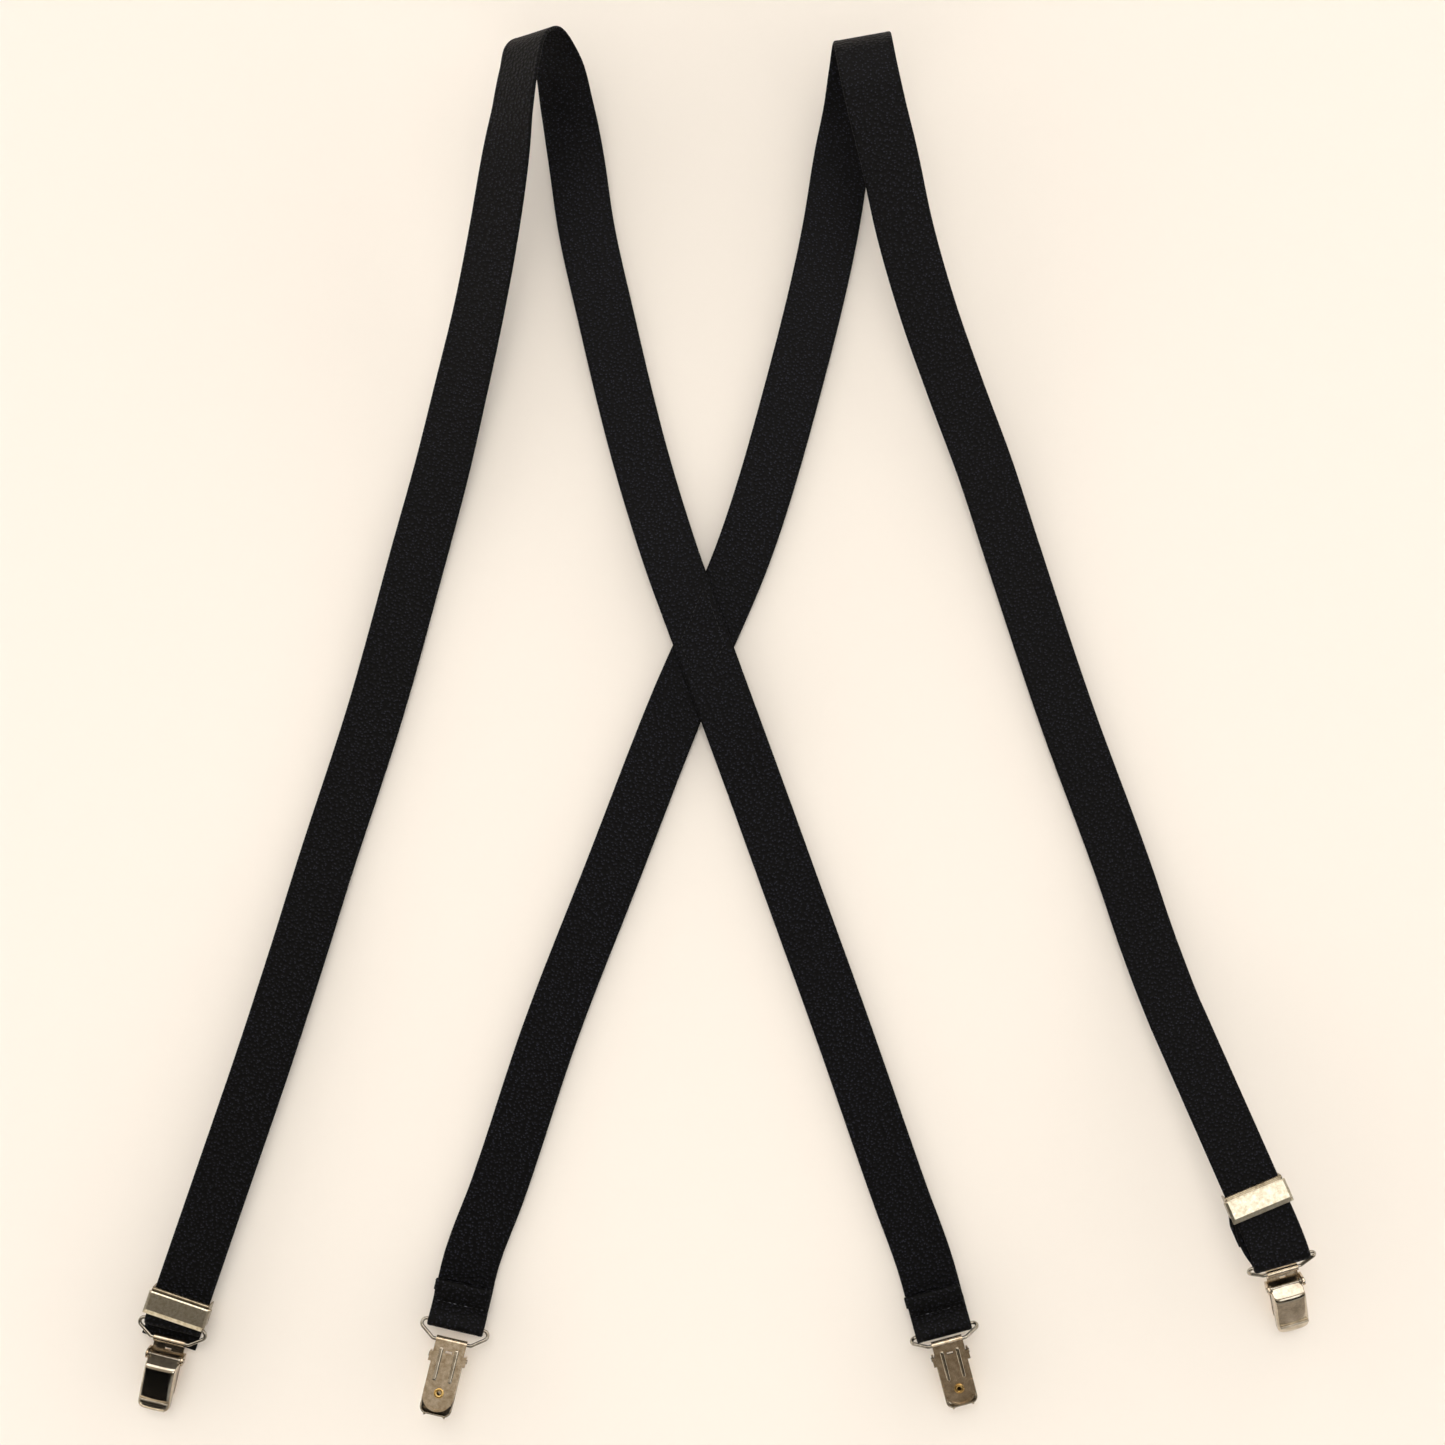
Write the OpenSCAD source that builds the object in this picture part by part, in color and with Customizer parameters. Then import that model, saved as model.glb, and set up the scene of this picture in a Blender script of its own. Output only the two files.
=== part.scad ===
// X-back clip-on suspenders: two elastic straps that cross and are sewn at the back,
// a slide adjuster on each front end, and a hinged clip on a wire bail at all four ends.
// They lie flat as if on a table. X is left to right, Y runs up towards the shoulder folds, Z is up.

/* [Webbing] */
// Width of the elastic webbing
web_w = 25.4; // [20:0.2:26]
// Thickness of the webbing
web_t = 1.4; // [1:0.1:1.5]
// Room between two layers of webbing that are sewn together
layer_gap = 0.1; // [0.05:0.05:0.2]
// Length of the doubled end at each hem
hem_len = 18; // [16:0.5:22]
// Distance of the sewn diamond from the edges of the straps
cross_inset = 3.5; // [2:0.5:5]
// Length of one stitch
stitch_len = 1.7; // [1:0.1:2]
// Distance from one stitch to the next
stitch_pitch = 2.5; // [2.2:0.1:4]
// Thickness of the sewing thread
thread_t = 0.3; // [0.2:0.05:0.4]

/* [Bail] */
// Diameter of the bail's wire
wire_d = 1.6; // [1.4:0.1:1.6]
// Distance between the middles of the bail's two bars
bail_h = 7.5; // [7:0.5:10]
// Overall width of the bail
bail_w = 31.7; // [31:0.1:33]
// Distance between the bends at the ends of the bail's lower bar
bail_low_w = 17.4; // [17:0.1:20]
// Radius of the bail's outer corners
bail_corner_r = 2; // [1:0.1:2]
// Radius of the bail's inner corners
bail_bend_r = 1.2; // [1:0.1:1.5]

/* [Clip] */
// Width of the clip's back plate
plate_w = 14; // [13:0.5:14]
// Distance from the bail's bar to the plate's rounded end
plate_len = 30; // [28:0.5:31]
// Thickness of the plate and of the lever
sheet_t = 0.8; // [0.6:0.1:0.8]
// Width of the lever
lever_w = 14.4; // [14:0.1:14.6]
// Distance from the bail's bar to the lever's tip
lever_len = 32.2; // [31:0.2:34]
// Height of the lever's top edge over the bail's bar
lever_h = 6.8; // [6:0.1:7]
// Diameter of the lever's pivot pin
pivot_d = 1.2; // [1:0.1:1.2]
// Width of the moulded grip pad
pad_w = 12.6; // [11:0.2:12.8]

/* [Adjuster] */
// Width of the adjuster's hinged flap
flap_w = 28.3; // [28.3:0.1:29]
// Length of the flap along the strap, without its hinge barrel
flap_len = 9.4; // [9.2:0.1:10]
// Thickness of the flap
flap_t = 1; // [0.8:0.1:1]
// Width of the bevel round the flap
flap_bevel = 1.3; // [0.8:0.1:2]
// Thickness of the adjuster's side walls
wall_t = 0.6; // [0.5:0.1:0.6]
// Diameter of the flap's hinge pin
flap_pin_d = 1; // [0.8:0.1:1]

/* [Hidden] */
$fn = 48;
turning_gap = 0.1;                     // radial room round a bar or pin that turns
wire_r = wire_d / 2;
wire_lap = 0.05;                       // how far the wire's straight lengths run into its bends
straight_r = wire_r - 0.01;            // bending leaves the straight lengths a hair thinner
curl_in_r = wire_r + turning_gap;      // inside of the plate's curl round the bail
curl_r = curl_in_r + sheet_t;
back_turn_r = 2.0;                     // middle radius of the webbing round a back bail
front_turn_r = 1.9;                    // middle radius of the webbing round a front bail
table_z = 0.8;                         // middle of webbing that lies on the table
cross_z = 2.3;                         // middle of the strap that is on top at the crossing

// Pivot of the lever: distance from the bail's bar, and height over it
pivot_y = 7.2;
pivot_z = 1.5;

// Heights in an adjuster, from its underside
rear_bar_z = 2.1;
rear_bar_r = 0.6;
front_web_z = 5.1;                     // middle of the webbing that runs through
return_web_z = 2.5;                    // middle of the webbing that comes back from the bail
hinge_y = flap_len - 5;                // the flap reaches 6 mm past the rear bar
hinge_z = 6.85;
ear_half = 0.95;                       // half the width of the ear that holds the hinge pin
flap_z = 7;                            // underside of the flap

// An end frame is [origin, heading, slope]: its Y runs up the strap, and slopes down by slope
left_frame = [[-243, -256, 0], -18.8, 1];
right_frame = [[235.8, -204.9, 10.4], 22.7, 7];

// An end is [middle of the bail's bar, heading, slope of the webbing, tilt of the bail, tilt of the
// clip, side of the lever]. Tilts are positive where the far end is lower. Side 1 is up, -1 is down.
ends = [
    [[-245.6, -264.2, 4.5], -14, 1, 1, 4.5, 1],
    [[245.8, -231.5, 18], 16, 7, 36, 22, 1],
    [[-119.5, -265, 2.8], -13, 0, -18, -10.5, -1],
    [[99, -267.5, 2.8], 15, 0, -66, 9, -1]
];
front_left = 0;
front_right = 1;
back_left = 2;
back_right = 3;

// How far up the strap the straight stretch for an adjuster goes
left_straight = 100;
right_straight = 85;

// Middle lines of the straps, from the back clip over the shoulder fold to the front.
// Each point is [x, y, z, lift of the right-hand edge in degrees].
left_route = [
    [79, -205, 0.8, 0], [54, -133, 0.8, 0], [28, -61, 0.8, 0], [15, -25, 0.8, 0],
    [4, 5, 2.3, 0], [-11, 46, 2.3, 0], [-22, 76, 2.3, 0], [-34, 114, 0.8, 0],
    [-53, 190, 0.8, 0], [-61, 226, 1.2, 0], [-66, 260, 3, 6], [-69.5, 280, 6, 18],
    [-73.5, 297.5, 12, 30], [-81, 307, 20, 36], [-85.5, 301.5, 27, 39], [-88, 290, 29.5, 41],
    [-91.5, 271, 27, 39], [-94.5, 255, 23, 31], [-101, 222, 15, 24], [-108.5, 188, 9, 20],
    [-117, 154, 5, 13], [-126, 118, 2.8, 6], [-136, 82, 1.6, 0], [-156, 10, 1, 0],
    [-179, -61, 1.2, 0], [-190, -97, 2.2, 0]
];
right_route = [
    [-101, -205, 0.8, 0], [-77, -133, 0.8, 0], [-49, -61, 0.8, 0], [-21, 11, 0.8, 0],
    [10, 83, 0.8, 0], [31.6, 155, 0.8, 0], [48.6, 227, 1, 0], [54, 260, 1.8, 0],
    [58, 280, 3.5, 0], [60, 296, 9, 0], [61, 305, 20, 0], [61, 299, 30, 0],
    [63, 286, 34, 0], [67, 270, 31.5, 0], [72, 253, 27, 0], [80, 222, 19, 0],
    [91, 188, 12, 0], [104, 154, 6.5, 0], [118, 118, 3.2, 0], [130, 82, 1.6, 0],
    [154, 10, 1, 0], [180, -61, 1.2, 0], [192, -97, 2.6, 0]
];
left_fold_turn = 0;                    // heading of each shoulder fold's crease
right_fold_turn = 10;

// ---- Frames and rings ----

function unit(v) = v / norm(v);
function across(f) = [cos(f[1]), sin(f[1]), 0];
function along(f) = [-sin(f[1]) * cos(f[2]), cos(f[1]) * cos(f[2]), -sin(f[2])];
function place(f, y, z) = f[0] + y * along(f) + z * cross(across(f), along(f));

// A ring of webbing is [middle, width direction, thickness direction]
function ring(middle, wide, ahead) =
    let (w = unit(wide - (wide * ahead) * ahead)) [middle, w, cross(w, ahead)];

// Rings along a flat path of [y, z] points in frame f
function path_rings(f, path) = [
    for (i = [0 : len(path) - 1])
        let (
            step = path[min(i + 1, len(path) - 1)] - path[max(i - 1, 0)],
            ahead = unit(step[0] * along(f) + step[1] * cross(across(f), along(f)))
        )
        ring(place(f, path[i][0], path[i][1]), across(f), ahead)
];

// Points on an arc in a [y, z] plane
function arc(cy, cz, r, from, to, steps) = [
    for (i = [0 : steps]) let (a = from + (to - from) * i / steps) [cy + r * cos(a), cz + r * sin(a)]
];

// A smooth curve through 4-number points: cubic between two points, with each point's slope
// taken from its neighbours and weighted by the distances to them
function slope_at(p, i) =
    i == 0 ? (p[1] - p[0]) / gap(p, 0) :
    i == len(p) - 1 ? (p[i] - p[i - 1]) / gap(p, i - 1) :
    let (a = gap(p, i - 1), b = gap(p, i))
    ((p[i] - p[i - 1]) / a * b + (p[i + 1] - p[i]) / b * a) / (a + b);
function gap(p, i) = norm([for (k = [0 : 2]) p[i + 1][k] - p[i][k]]);
function cubic(p, i, t) =
    let (g = gap(p, i))
    p[i] * (2 * pow(t, 3) - 3 * t * t + 1) + slope_at(p, i) * g * (pow(t, 3) - 2 * t * t + t)
    + p[i + 1] * (3 * t * t - 2 * pow(t, 3)) + slope_at(p, i + 1) * g * (pow(t, 3) - t * t);
function steps_for(p, i) = max(2, ceil(gap(p, i) / 9));
function curve(p) = concat(
    [for (i = [0 : len(p) - 2]) for (k = [0 : steps_for(p, i) - 1]) cubic(p, i, k / steps_for(p, i))],
    [p[len(p) - 1]]
);
function flat3(p) = [p[0], p[1], p[2]];
function curve_rings(c, turn) = [
    for (i = [0 : len(c) - 1])
        let (ahead = unit(flat3(c[min(i + 1, len(c) - 1)]) - flat3(c[max(i - 1, 0)])), lift = c[i][3])
        ring(flat3(c[i]), [cos(lift) * cos(turn), cos(lift) * sin(turn), sin(lift)], ahead)
];
function part_of(list, from, to) = [for (i = [from : to]) list[i]];

// One closed solid of webbing through a list of rings
module webbing(rings) {
    corners = [[-1, -1], [1, -1], [1, 1], [-1, 1]];
    points = [
        for (r = rings) for (c = corners)
            r[0] + r[1] * c[0] * web_w / 2 + r[2] * c[1] * web_t / 2
    ];
    last = 4 * (len(rings) - 1);
    sides = [
        for (i = [0 : len(rings) - 2]) for (k = [0 : 3])
            let (a = 4 * i + k, b = 4 * i + (k + 1) % 4)
            each [[a, b, b + 4], [a, b + 4, a + 4]]
    ];
    caps = [[0, 3, 2], [0, 2, 1], [last, last + 1, last + 2], [last, last + 2, last + 3]];
    color("#1b1b20") polyhedron(points, concat(sides, caps));
}

// ---- Straps ----

// The back hem's path: turned-under end, flap, round the bail's bar, and onto the strap
flap_web_z = table_z + web_t + layer_gap;
ridge_web_z = flap_web_z + web_t + layer_gap;
fold_r = (ridge_web_z - flap_web_z) / 2;
bar_z = table_z + back_turn_r;
back_hem_path = concat(
    [[hem_len - 4.6, flap_web_z]],
    arc(hem_len - fold_r, flap_web_z + fold_r, fold_r, -90, 90, 8),
    [[hem_len - 5.2, ridge_web_z], [hem_len - 7.8, flap_web_z], [6, flap_web_z + 0.1], [3, 3.6]],
    arc(0, bar_z, back_turn_r, 68, 270, 14),
    [[6, table_z], [14, table_z]]
);

function hem_frame(e) = [[e[0][0], e[0][1], 0], e[1], 0];
function in4(p) = [p[0], p[1], p[2], 0];
function strap_rings(e, route, turn, f, straight) =
    let (
        hem = hem_frame(e),
        start = in4(place(hem, 26, table_z)),
        end = in4(place(f, straight, front_web_z)),
        joint = in4(place(f, straight - 12, front_web_z)),
        c = curve(concat([in4(place(hem, 14, table_z)), start], route, [end, joint])),
        body = curve_rings(c, turn)
    )
    concat(
        part_of(path_rings(hem, back_hem_path), 0, len(back_hem_path) - 2),
        part_of(body, 1, len(body) - 4),
        [ring(flat3(end), across(f), -along(f))]
    );

module strap_left() webbing(
    strap_rings(ends[back_right], left_route, left_fold_turn, left_frame, left_straight)
);
module strap_right() webbing(
    strap_rings(ends[back_left], right_route, right_fold_turn, right_frame, right_straight)
);

// ---- Webbing at the front ends ----

turn_leg = 1;                          // straight webbing at both ends of the turn round a front bail
front_hem_leg = -6;                    // where the sewn hem begins on the returning layer
left_skew = 0;                         // how far each hem's free end sits off the strap, sideways
right_skew = 2.6;

// Rings from one ring's middle to another's, leaving and arriving in line with both
function bridge(p, q, dp, dq, wp, wq, steps) = [
    for (i = [0 : steps])
        let (
            t = i / steps,
            g = norm(q - p),
            h = 2 * pow(t, 3) - 3 * t * t,
            middle = p * (1 + h) - q * h + dp * g * (pow(t, 3) - 2 * t * t + t)
                + dq * g * (pow(t, 3) - t * t),
            ahead = (q - p) * 6 * (t - t * t) / g + dp * (3 * t * t - 4 * t + 1) + dq * (3 * t * t - 2 * t)
        )
        ring(middle, wp * (1 - t) + wq * t, unit(ahead))
];

module front_run(e, f, straight) {
    bend_y = -3;
    webbing(concat(
        [ring(place(f, straight, front_web_z), across(f), -along(f))],
        bridge(place(f, bend_y, front_web_z), place(e, turn_leg, front_turn_r),
            -along(f), -along(e), across(f), across(e), 8)
    ));
}

module webbing_turn(e) {
    path = concat(
        [[turn_leg, front_turn_r]],
        arc(0, 0, front_turn_r, 90, 270, 14),
        [[turn_leg, -front_turn_r]]
    );
    webbing(path_rings(e, path));
}

// Rings moved sideways by a share of the skew that grows from 0 to 1 between two places on the way
function skewed(rings, f, skew, shares) = [
    for (i = [0 : len(rings) - 1])
        [rings[i][0] - across(f) * skew * shares[i], rings[i][1], rings[i][2]]
];

module return_run(e, f, skew) {
    steps = 8;
    rings = bridge(place(e, turn_leg, -front_turn_r), place(f, front_hem_leg, return_web_z),
        along(e), along(f), across(e), across(f), steps);
    webbing(skewed(rings, f, skew * 0.8, [for (i = [0 : steps]) pow(sin(180 * i / steps), 2)]));
}

module front_hem(f, skew) {
    wrap_r = rear_bar_r + turning_gap + web_t / 2;
    under_z = rear_bar_z - wrap_r;
    path = concat(
        [
            [front_hem_leg, return_web_z], [front_hem_leg + 1, return_web_z],
            [-2.2, rear_bar_z + wrap_r - 0.25]
        ],
        arc(0, rear_bar_z, wrap_r, 90, -90, 12),
        [[-6, under_z], [-7.5, under_z], [-9, under_z], [-hem_len, under_z]]
    );
    turned = len(path) - 3;
    shares = [for (i = [0 : len(path) - 1]) i < turned ? 0 : min(1, (i - turned + 1) / 2)];
    webbing(skewed(path_rings(f, path), f, skew, shares));
}

// ---- Stitches ----

module stitch_row(length, count_gap) {
    count = floor(length / count_gap);
    for (i = [0 : count - 1])
        translate([(i - (count - 1) / 2) * count_gap - stitch_len / 2, -thread_t / 2, 0])
            cube([stitch_len, thread_t, thread_t]);
}

// Diamond of stitches on top of the crossing: its sides lie parallel to the straps' edges
cross_at = [-9, 41];
left_heading = 20;
right_heading = -24;

module cross_stitches() {
    half = web_w / 2 - cross_inset;
    turn = left_heading - right_heading;
    side = 2 * half / sin(turn);
    color("#2c2c33") translate([cross_at[0], cross_at[1], cross_z + web_t / 2 + 0.03])
        for (way = [[left_heading, right_heading], [right_heading, left_heading]]) for (s = [-1, 1])
            rotate([0, 0, way[0]]) translate([s * half, 0, 0])
                translate([0, s * half / tan(turn) * (way[0] > 0 ? 1 : -1), 0])
                    rotate([0, 0, 90]) stitch_row(side - 1, stitch_pitch);
}

module at_frame(f) translate(f[0]) rotate([0, 0, f[1]]) rotate([-f[2], 0, 0]) children();

module back_hem_stitches(e) {
    row_y = 9;
    color("#44444c") at_frame(hem_frame(e)) translate([0, row_y, flap_web_z + web_t / 2 + 0.03])
        stitch_row(web_w - 3, stitch_pitch);
}

module front_hem_stitches(f) {
    row_y = -5.4;
    color("#44444c") at_frame(f) translate([0, row_y, return_web_z + web_t / 2 + 0.03])
        stitch_row(web_w - 3, stitch_pitch);
}

// ---- Adjuster, in its end frame ----

wall_in = web_w / 2 + 0.15;
wall_out = wall_in + wall_t;

module along_x(length) rotate([90, 0, 90]) translate([0, 0, -length / 2]) linear_extrude(length) children();

module both_sides() {
    children();
    mirror([1, 0, 0]) children();
}

module adjuster_frame(f) {
    color("#b9ab93") at_frame(f) {
        both_sides() translate([(wall_in + wall_out) / 2, 0, 0]) along_x(wall_t) difference() {
            union() {
                translate([-4.6, 0.6]) square([hinge_y + 5.4, 5.4]);
                translate([hinge_y - ear_half, 2]) square([2 * ear_half, hinge_z - 2]);
                translate([hinge_y, hinge_z]) circle(ear_half);
            }
            translate([hinge_y, hinge_z]) circle(flap_pin_d / 2 + 0.05);
        }
        along_x(2 * wall_in + wall_t) translate([0, rear_bar_z]) circle(rear_bar_r);
        along_x(2 * wall_in + wall_t) translate([hinge_y - 1.9, 3]) square([1.5, 1.2]);
    }
}

module adjuster_pin(f) {
    color("#b9ab93") at_frame(f) along_x(2 * wall_out) translate([hinge_y, hinge_z]) circle(flap_pin_d / 2);
}

module bevelled(length) {
    polygon([
        [-length / 2, 0], [length / 2, 0], [length / 2, 0.35],
        [length / 2 - flap_bevel, flap_t], [-length / 2 + flap_bevel, flap_t], [-length / 2, 0.35]
    ]);
}

module adjuster_flap(f) {
    barrel_r = 0.95;
    barrel_w = 2 * wall_in - 0.2;
    mid_y = -6 + flap_len / 2;
    skirt_in = wall_out + 0.1;
    skirt_y = -4.4;
    skirt_z = 2.6;
    skirt_len = flap_len - 2.8;
    tooth_y = hinge_y - 1.7;
    tooth_pitch = 1.55;
    tooth_w = 0.9;
    tooth_row_w = 23;
    color("#cdbf9f") at_frame(f) difference() {
        union() {
            intersection() {
                translate([0, mid_y, flap_z]) along_x(flap_w) bevelled(flap_len);
                translate([0, mid_y, flap_z]) rotate([90, 0, 0]) translate([0, 0, -flap_len / 2])
                    linear_extrude(flap_len) bevelled(flap_w);
            }
            translate([-barrel_w / 2, mid_y + flap_len / 2 - 0.6, flap_z]) cube([barrel_w, 1.6, 0.8]);
            along_x(barrel_w) translate([hinge_y, hinge_z]) circle(barrel_r);
            both_sides() translate([skirt_in, skirt_y, skirt_z])
                cube([flap_w / 2 - skirt_in, skirt_len, flap_z - skirt_z + 0.1]);
            translate([-tooth_row_w / 2, tooth_y - 0.2, flap_z - 0.5]) cube([tooth_row_w, 1.2, 0.6]);
            for (i = [-7 : 7])
                translate([i * tooth_pitch - tooth_w / 2, tooth_y, 5.9]) cube([tooth_w, 0.8, 1]);
        }
        along_x(flap_w + 1) translate([hinge_y, hinge_z]) circle(flap_pin_d / 2 + 0.06);
        along_x(flap_w + 1) translate([-1.6, 4.4]) circle(0.6);
    }
}

// ---- Bail: a closed loop of round wire, in the plane of its two bars ----

module rod(p, q) {
    d = q - p;
    translate([p[0], p[1], 0]) rotate([0, 0, atan2(d[1], d[0])]) rotate([0, 90, 0])
        cylinder(h = norm(d), r = straight_r);
}

// A rounded corner at point b between the points a and c, and the straight wire from it towards c
module corner_and_rod(a, b, c, d, r, next_r) {
    into = unit(b - a);
    out = unit(c - b);
    next = unit(d - c);
    swing = acos(into * out);
    reach = r * tan(swing / 2);
    next_reach = next_r * tan(acos(out * next) / 2);
    hub = b - into * reach + r * [-into[1], into[0]];
    translate([hub[0], hub[1], 0]) rotate([0, 0, atan2(into[1], into[0]) - 90])
        rotate_extrude(angle = swing) translate([r, 0]) circle(wire_r);
    rod(b + out * (reach - wire_lap), c - out * (next_reach - wire_lap));
}

// The slanting sides touch the outer corners' curves, and would meet the top bar's line at bail_top_x
bail_hub = [-bail_w / 2 + wire_r + bail_corner_r, -bail_corner_r];
bail_bend = [-bail_low_w / 2, -bail_h];
hub_way = bail_hub - bail_bend;
side_angle = atan2(hub_way[1], hub_way[0]) + asin(bail_corner_r / norm(hub_way));
bail_top_x = bail_bend[0] + bail_h / tan(side_angle);

module bail(e) {
    p = [[bail_top_x, 0], bail_bend, [-bail_bend[0], bail_bend[1]], [-bail_top_x, 0]];
    r = [bail_corner_r, bail_bend_r, bail_bend_r, bail_corner_r];
    color("#b4aa9a") at_bail(e) for (i = [0 : 3])
        corner_and_rod(p[(i + 3) % 4], p[i], p[(i + 1) % 4], p[(i + 2) % 4], r[i], r[(i + 1) % 4]);
}

// ---- Clip: Y runs back towards the bail, Z to the lever's side ----

module at_bail(e) translate(e[0]) rotate([0, 0, e[1]]) rotate([e[3], 0, 0]) children();
module at_clip(e) translate(e[0]) rotate([0, 0, e[1]])
    translate([0, -bail_h * cos(e[3]), -bail_h * sin(e[3])])
        rotate([e[4], 0, 0]) rotate([0, e[5] > 0 ? 0 : 180, 0]) children();

pad_z = 0.6;                           // top of the grip pad
eyelet_y = -22;
ear_t = 0.8;
ear_in = lever_w / 2 + 0.35;
ear_out = ear_in + ear_t;
rim_h = 0.3;

module plate_outline(inset) {
    round_y = -plate_len + plate_w / 2;
    translate([-plate_w / 2 + inset, round_y]) square([plate_w - 2 * inset, -round_y]);
    translate([0, round_y]) circle(plate_w / 2 - inset);
}

module clip_plate(e) {
    ear_len = 4.4;
    color("#aaa093") at_clip(e) difference() {
        union() {
            translate([0, 0, -curl_r]) linear_extrude(sheet_t) plate_outline(0);
            along_x(plate_w) circle(curl_r);
            translate([-ear_out, -pivot_y - ear_len / 2, -curl_r]) cube([2 * ear_out, ear_len, sheet_t]);
            both_sides() translate([(ear_in + ear_out) / 2, 0, 0]) along_x(ear_t) {
                translate([-pivot_y - ear_len / 2, -curl_r]) square([ear_len, curl_r + pivot_z]);
                translate([-pivot_y, pivot_z]) circle(ear_len / 2);
            }
            both_sides() translate([3.5, 0, -curl_r + 0.45]) intersection() {
                union() {
                    translate([0, -3.5, 0]) rotate([90, 0, 0]) cylinder(h = 13, r = 0.8);
                    translate([0, -3.5, 0]) sphere(0.8);
                    translate([0, -16.5, 0]) sphere(0.8);
                }
                translate([-1, -18, -0.8]) cube([2, 16, 0.9]);
            }
            translate([0, 0, -curl_r - rim_h]) linear_extrude(rim_h) difference() {
                intersection() {
                    plate_outline(0);
                    translate([-plate_w, -plate_len]) square([2 * plate_w, 11]);
                }
                plate_outline(0.9);
            }
        }
        along_x(plate_w + 2) circle(curl_in_r);
        translate([-plate_w, -2.6, 0.5]) rotate([30, 0, 0]) cube([2 * plate_w, 2.2, 0.7]);
        translate([-1.4, -5, -curl_r - 1]) cube([2.8, 1, 3]);
        translate([0, eyelet_y, -curl_r - 1]) cylinder(h = 3, r = 1.5);
        along_x(3 * plate_w) translate([-pivot_y, pivot_z]) circle(pivot_d / 2 + 0.05);
    }
}

module eyelet(e) {
    color("#c2a25c") at_clip(e) translate([0, eyelet_y, 0]) difference() {
        union() {
            translate([0, 0, -curl_r - 0.35]) cylinder(h = 0.35, r = 2.2);
            translate([0, 0, -curl_r - 0.1]) cylinder(h = curl_r + pad_z + 0.2, r = 1.4);
            translate([0, 0, pad_z]) cylinder(h = 0.25, r = 2);
        }
        translate([0, 0, -curl_r - 1]) cylinder(h = 4, r = 1);
    }
}

module grip_pad(e) {
    color("#26262a") at_clip(e) difference() {
        union() {
            translate([0, 0, -curl_in_r]) linear_extrude(curl_in_r + pad_z) intersection() {
                translate([-pad_w / 2, -plate_len]) square([pad_w, 15]);
                plate_outline(0.7);
            }
            for (i = [0 : 3]) translate([0, -25.4 - i * 0.9, pad_z]) along_x(7.4) circle(0.28);
        }
        translate([0, eyelet_y, -curl_r]) cylinder(h = 4, r = 1.5);
    }
}

// Side view of the lever: lip from near the pivot up to the top edge, a domed cover, and the tip
lip_foot = [-6.6, 1.4];
lip_top = [-10.3, lever_h - 0.3];
dome_rise = 0.7;
function cover_point(t, drop) =
    [-10.9 - (lever_len - 12) * t, lever_h - drop - 2.6 * t + dome_rise * 4 * t * (1 - t)];
function cover_line(drop) = [for (i = [0 : 10]) cover_point(i / 10, drop)];

module lever_outside() polygon(concat(
    [[-7, 0.6], lip_foot, lip_top], cover_line(0),
    [[-lever_len + 0.3, 3.2], [-lever_len, 1.3], [-lever_len + 1, 1.0], [-12, 0.2]]
));

module lever_inside() polygon(concat(
    [[-7, -1], lip_foot + [-0.95, -0.1], lip_top + [-0.75, -0.75]], cover_line(sheet_t),
    [[-lever_len + 1.1, 3], [-lever_len + 0.8, -1]]
));

// Plan view of the lever, with rounded corners at the tip
module lever_plan() {
    corner_r = 3.4;
    straight_w = lever_w - 2 * corner_r;
    translate([-lever_w / 2, -lever_len + corner_r]) square([lever_w, lever_len]);
    translate([-straight_w / 2, -lever_len]) square([straight_w, lever_len]);
    both_sides() translate([straight_w / 2, -lever_len + corner_r]) circle(corner_r);
}

module lever(e) {
    boss_r = 1.5;
    inner_w = lever_w - 2 * sheet_t;
    color("#8f867b") at_clip(e) {
        difference() {
            intersection() {
                along_x(lever_w) union() {
                    lever_outside();
                    translate([-pivot_y, pivot_z]) circle(boss_r);
                }
                translate([0, 0, -2]) linear_extrude(12) lever_plan();
            }
            along_x(inner_w) lever_inside();
            along_x(lever_w + 2) translate([-pivot_y, pivot_z]) circle(pivot_d / 2 + 0.08);
            along_x(inner_w) translate([-pivot_y, pivot_z]) circle(boss_r + 0.02);
        }
        lever_jaw();
    }
}

// The bar across the inside of the lever that bites on the pad
module lever_jaw() {
    jaw_w = lever_w - 2 * sheet_t + 0.2;
    translate([-jaw_w / 2, -27.2, 1]) cube([jaw_w, 0.8, 4.2]);
}

module pivot_pin(e) {
    head_h = 0.4;
    color("#c3b9aa") at_clip(e) {
        along_x(2 * ear_out + 0.1) translate([-pivot_y, pivot_z]) circle(pivot_d / 2);
        both_sides() translate([ear_out + 0.02 + head_h / 2, 0, 0]) along_x(head_h)
            translate([-pivot_y, pivot_z]) circle(1);
    }
}

strap_left();
strap_right();
cross_stitches();
back_hem_stitches(ends[back_left]);  // back_hem_stitches_left
back_hem_stitches(ends[back_right]);  // back_hem_stitches_right
front_run(ends[front_left], left_frame, left_straight);  // front_run_left
webbing_turn(ends[front_left]);  // webbing_turn_left
return_run(ends[front_left], left_frame, left_skew);  // return_run_left
front_hem(left_frame, left_skew);  // front_hem_left
front_hem_stitches(left_frame);  // front_hem_stitches_left
front_run(ends[front_right], right_frame, right_straight);  // front_run_right
webbing_turn(ends[front_right]);  // webbing_turn_right
return_run(ends[front_right], right_frame, right_skew);  // return_run_right
front_hem(right_frame, right_skew);  // front_hem_right
front_hem_stitches(right_frame);  // front_hem_stitches_right
adjuster_frame(left_frame);  // adjuster_frame_left
adjuster_flap(left_frame);  // adjuster_flap_left
adjuster_pin(left_frame);  // adjuster_pin_left
adjuster_frame(right_frame);  // adjuster_frame_right
adjuster_flap(right_frame);  // adjuster_flap_right
adjuster_pin(right_frame);  // adjuster_pin_right
bail(ends[front_left]);  // bail_front_left
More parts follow.
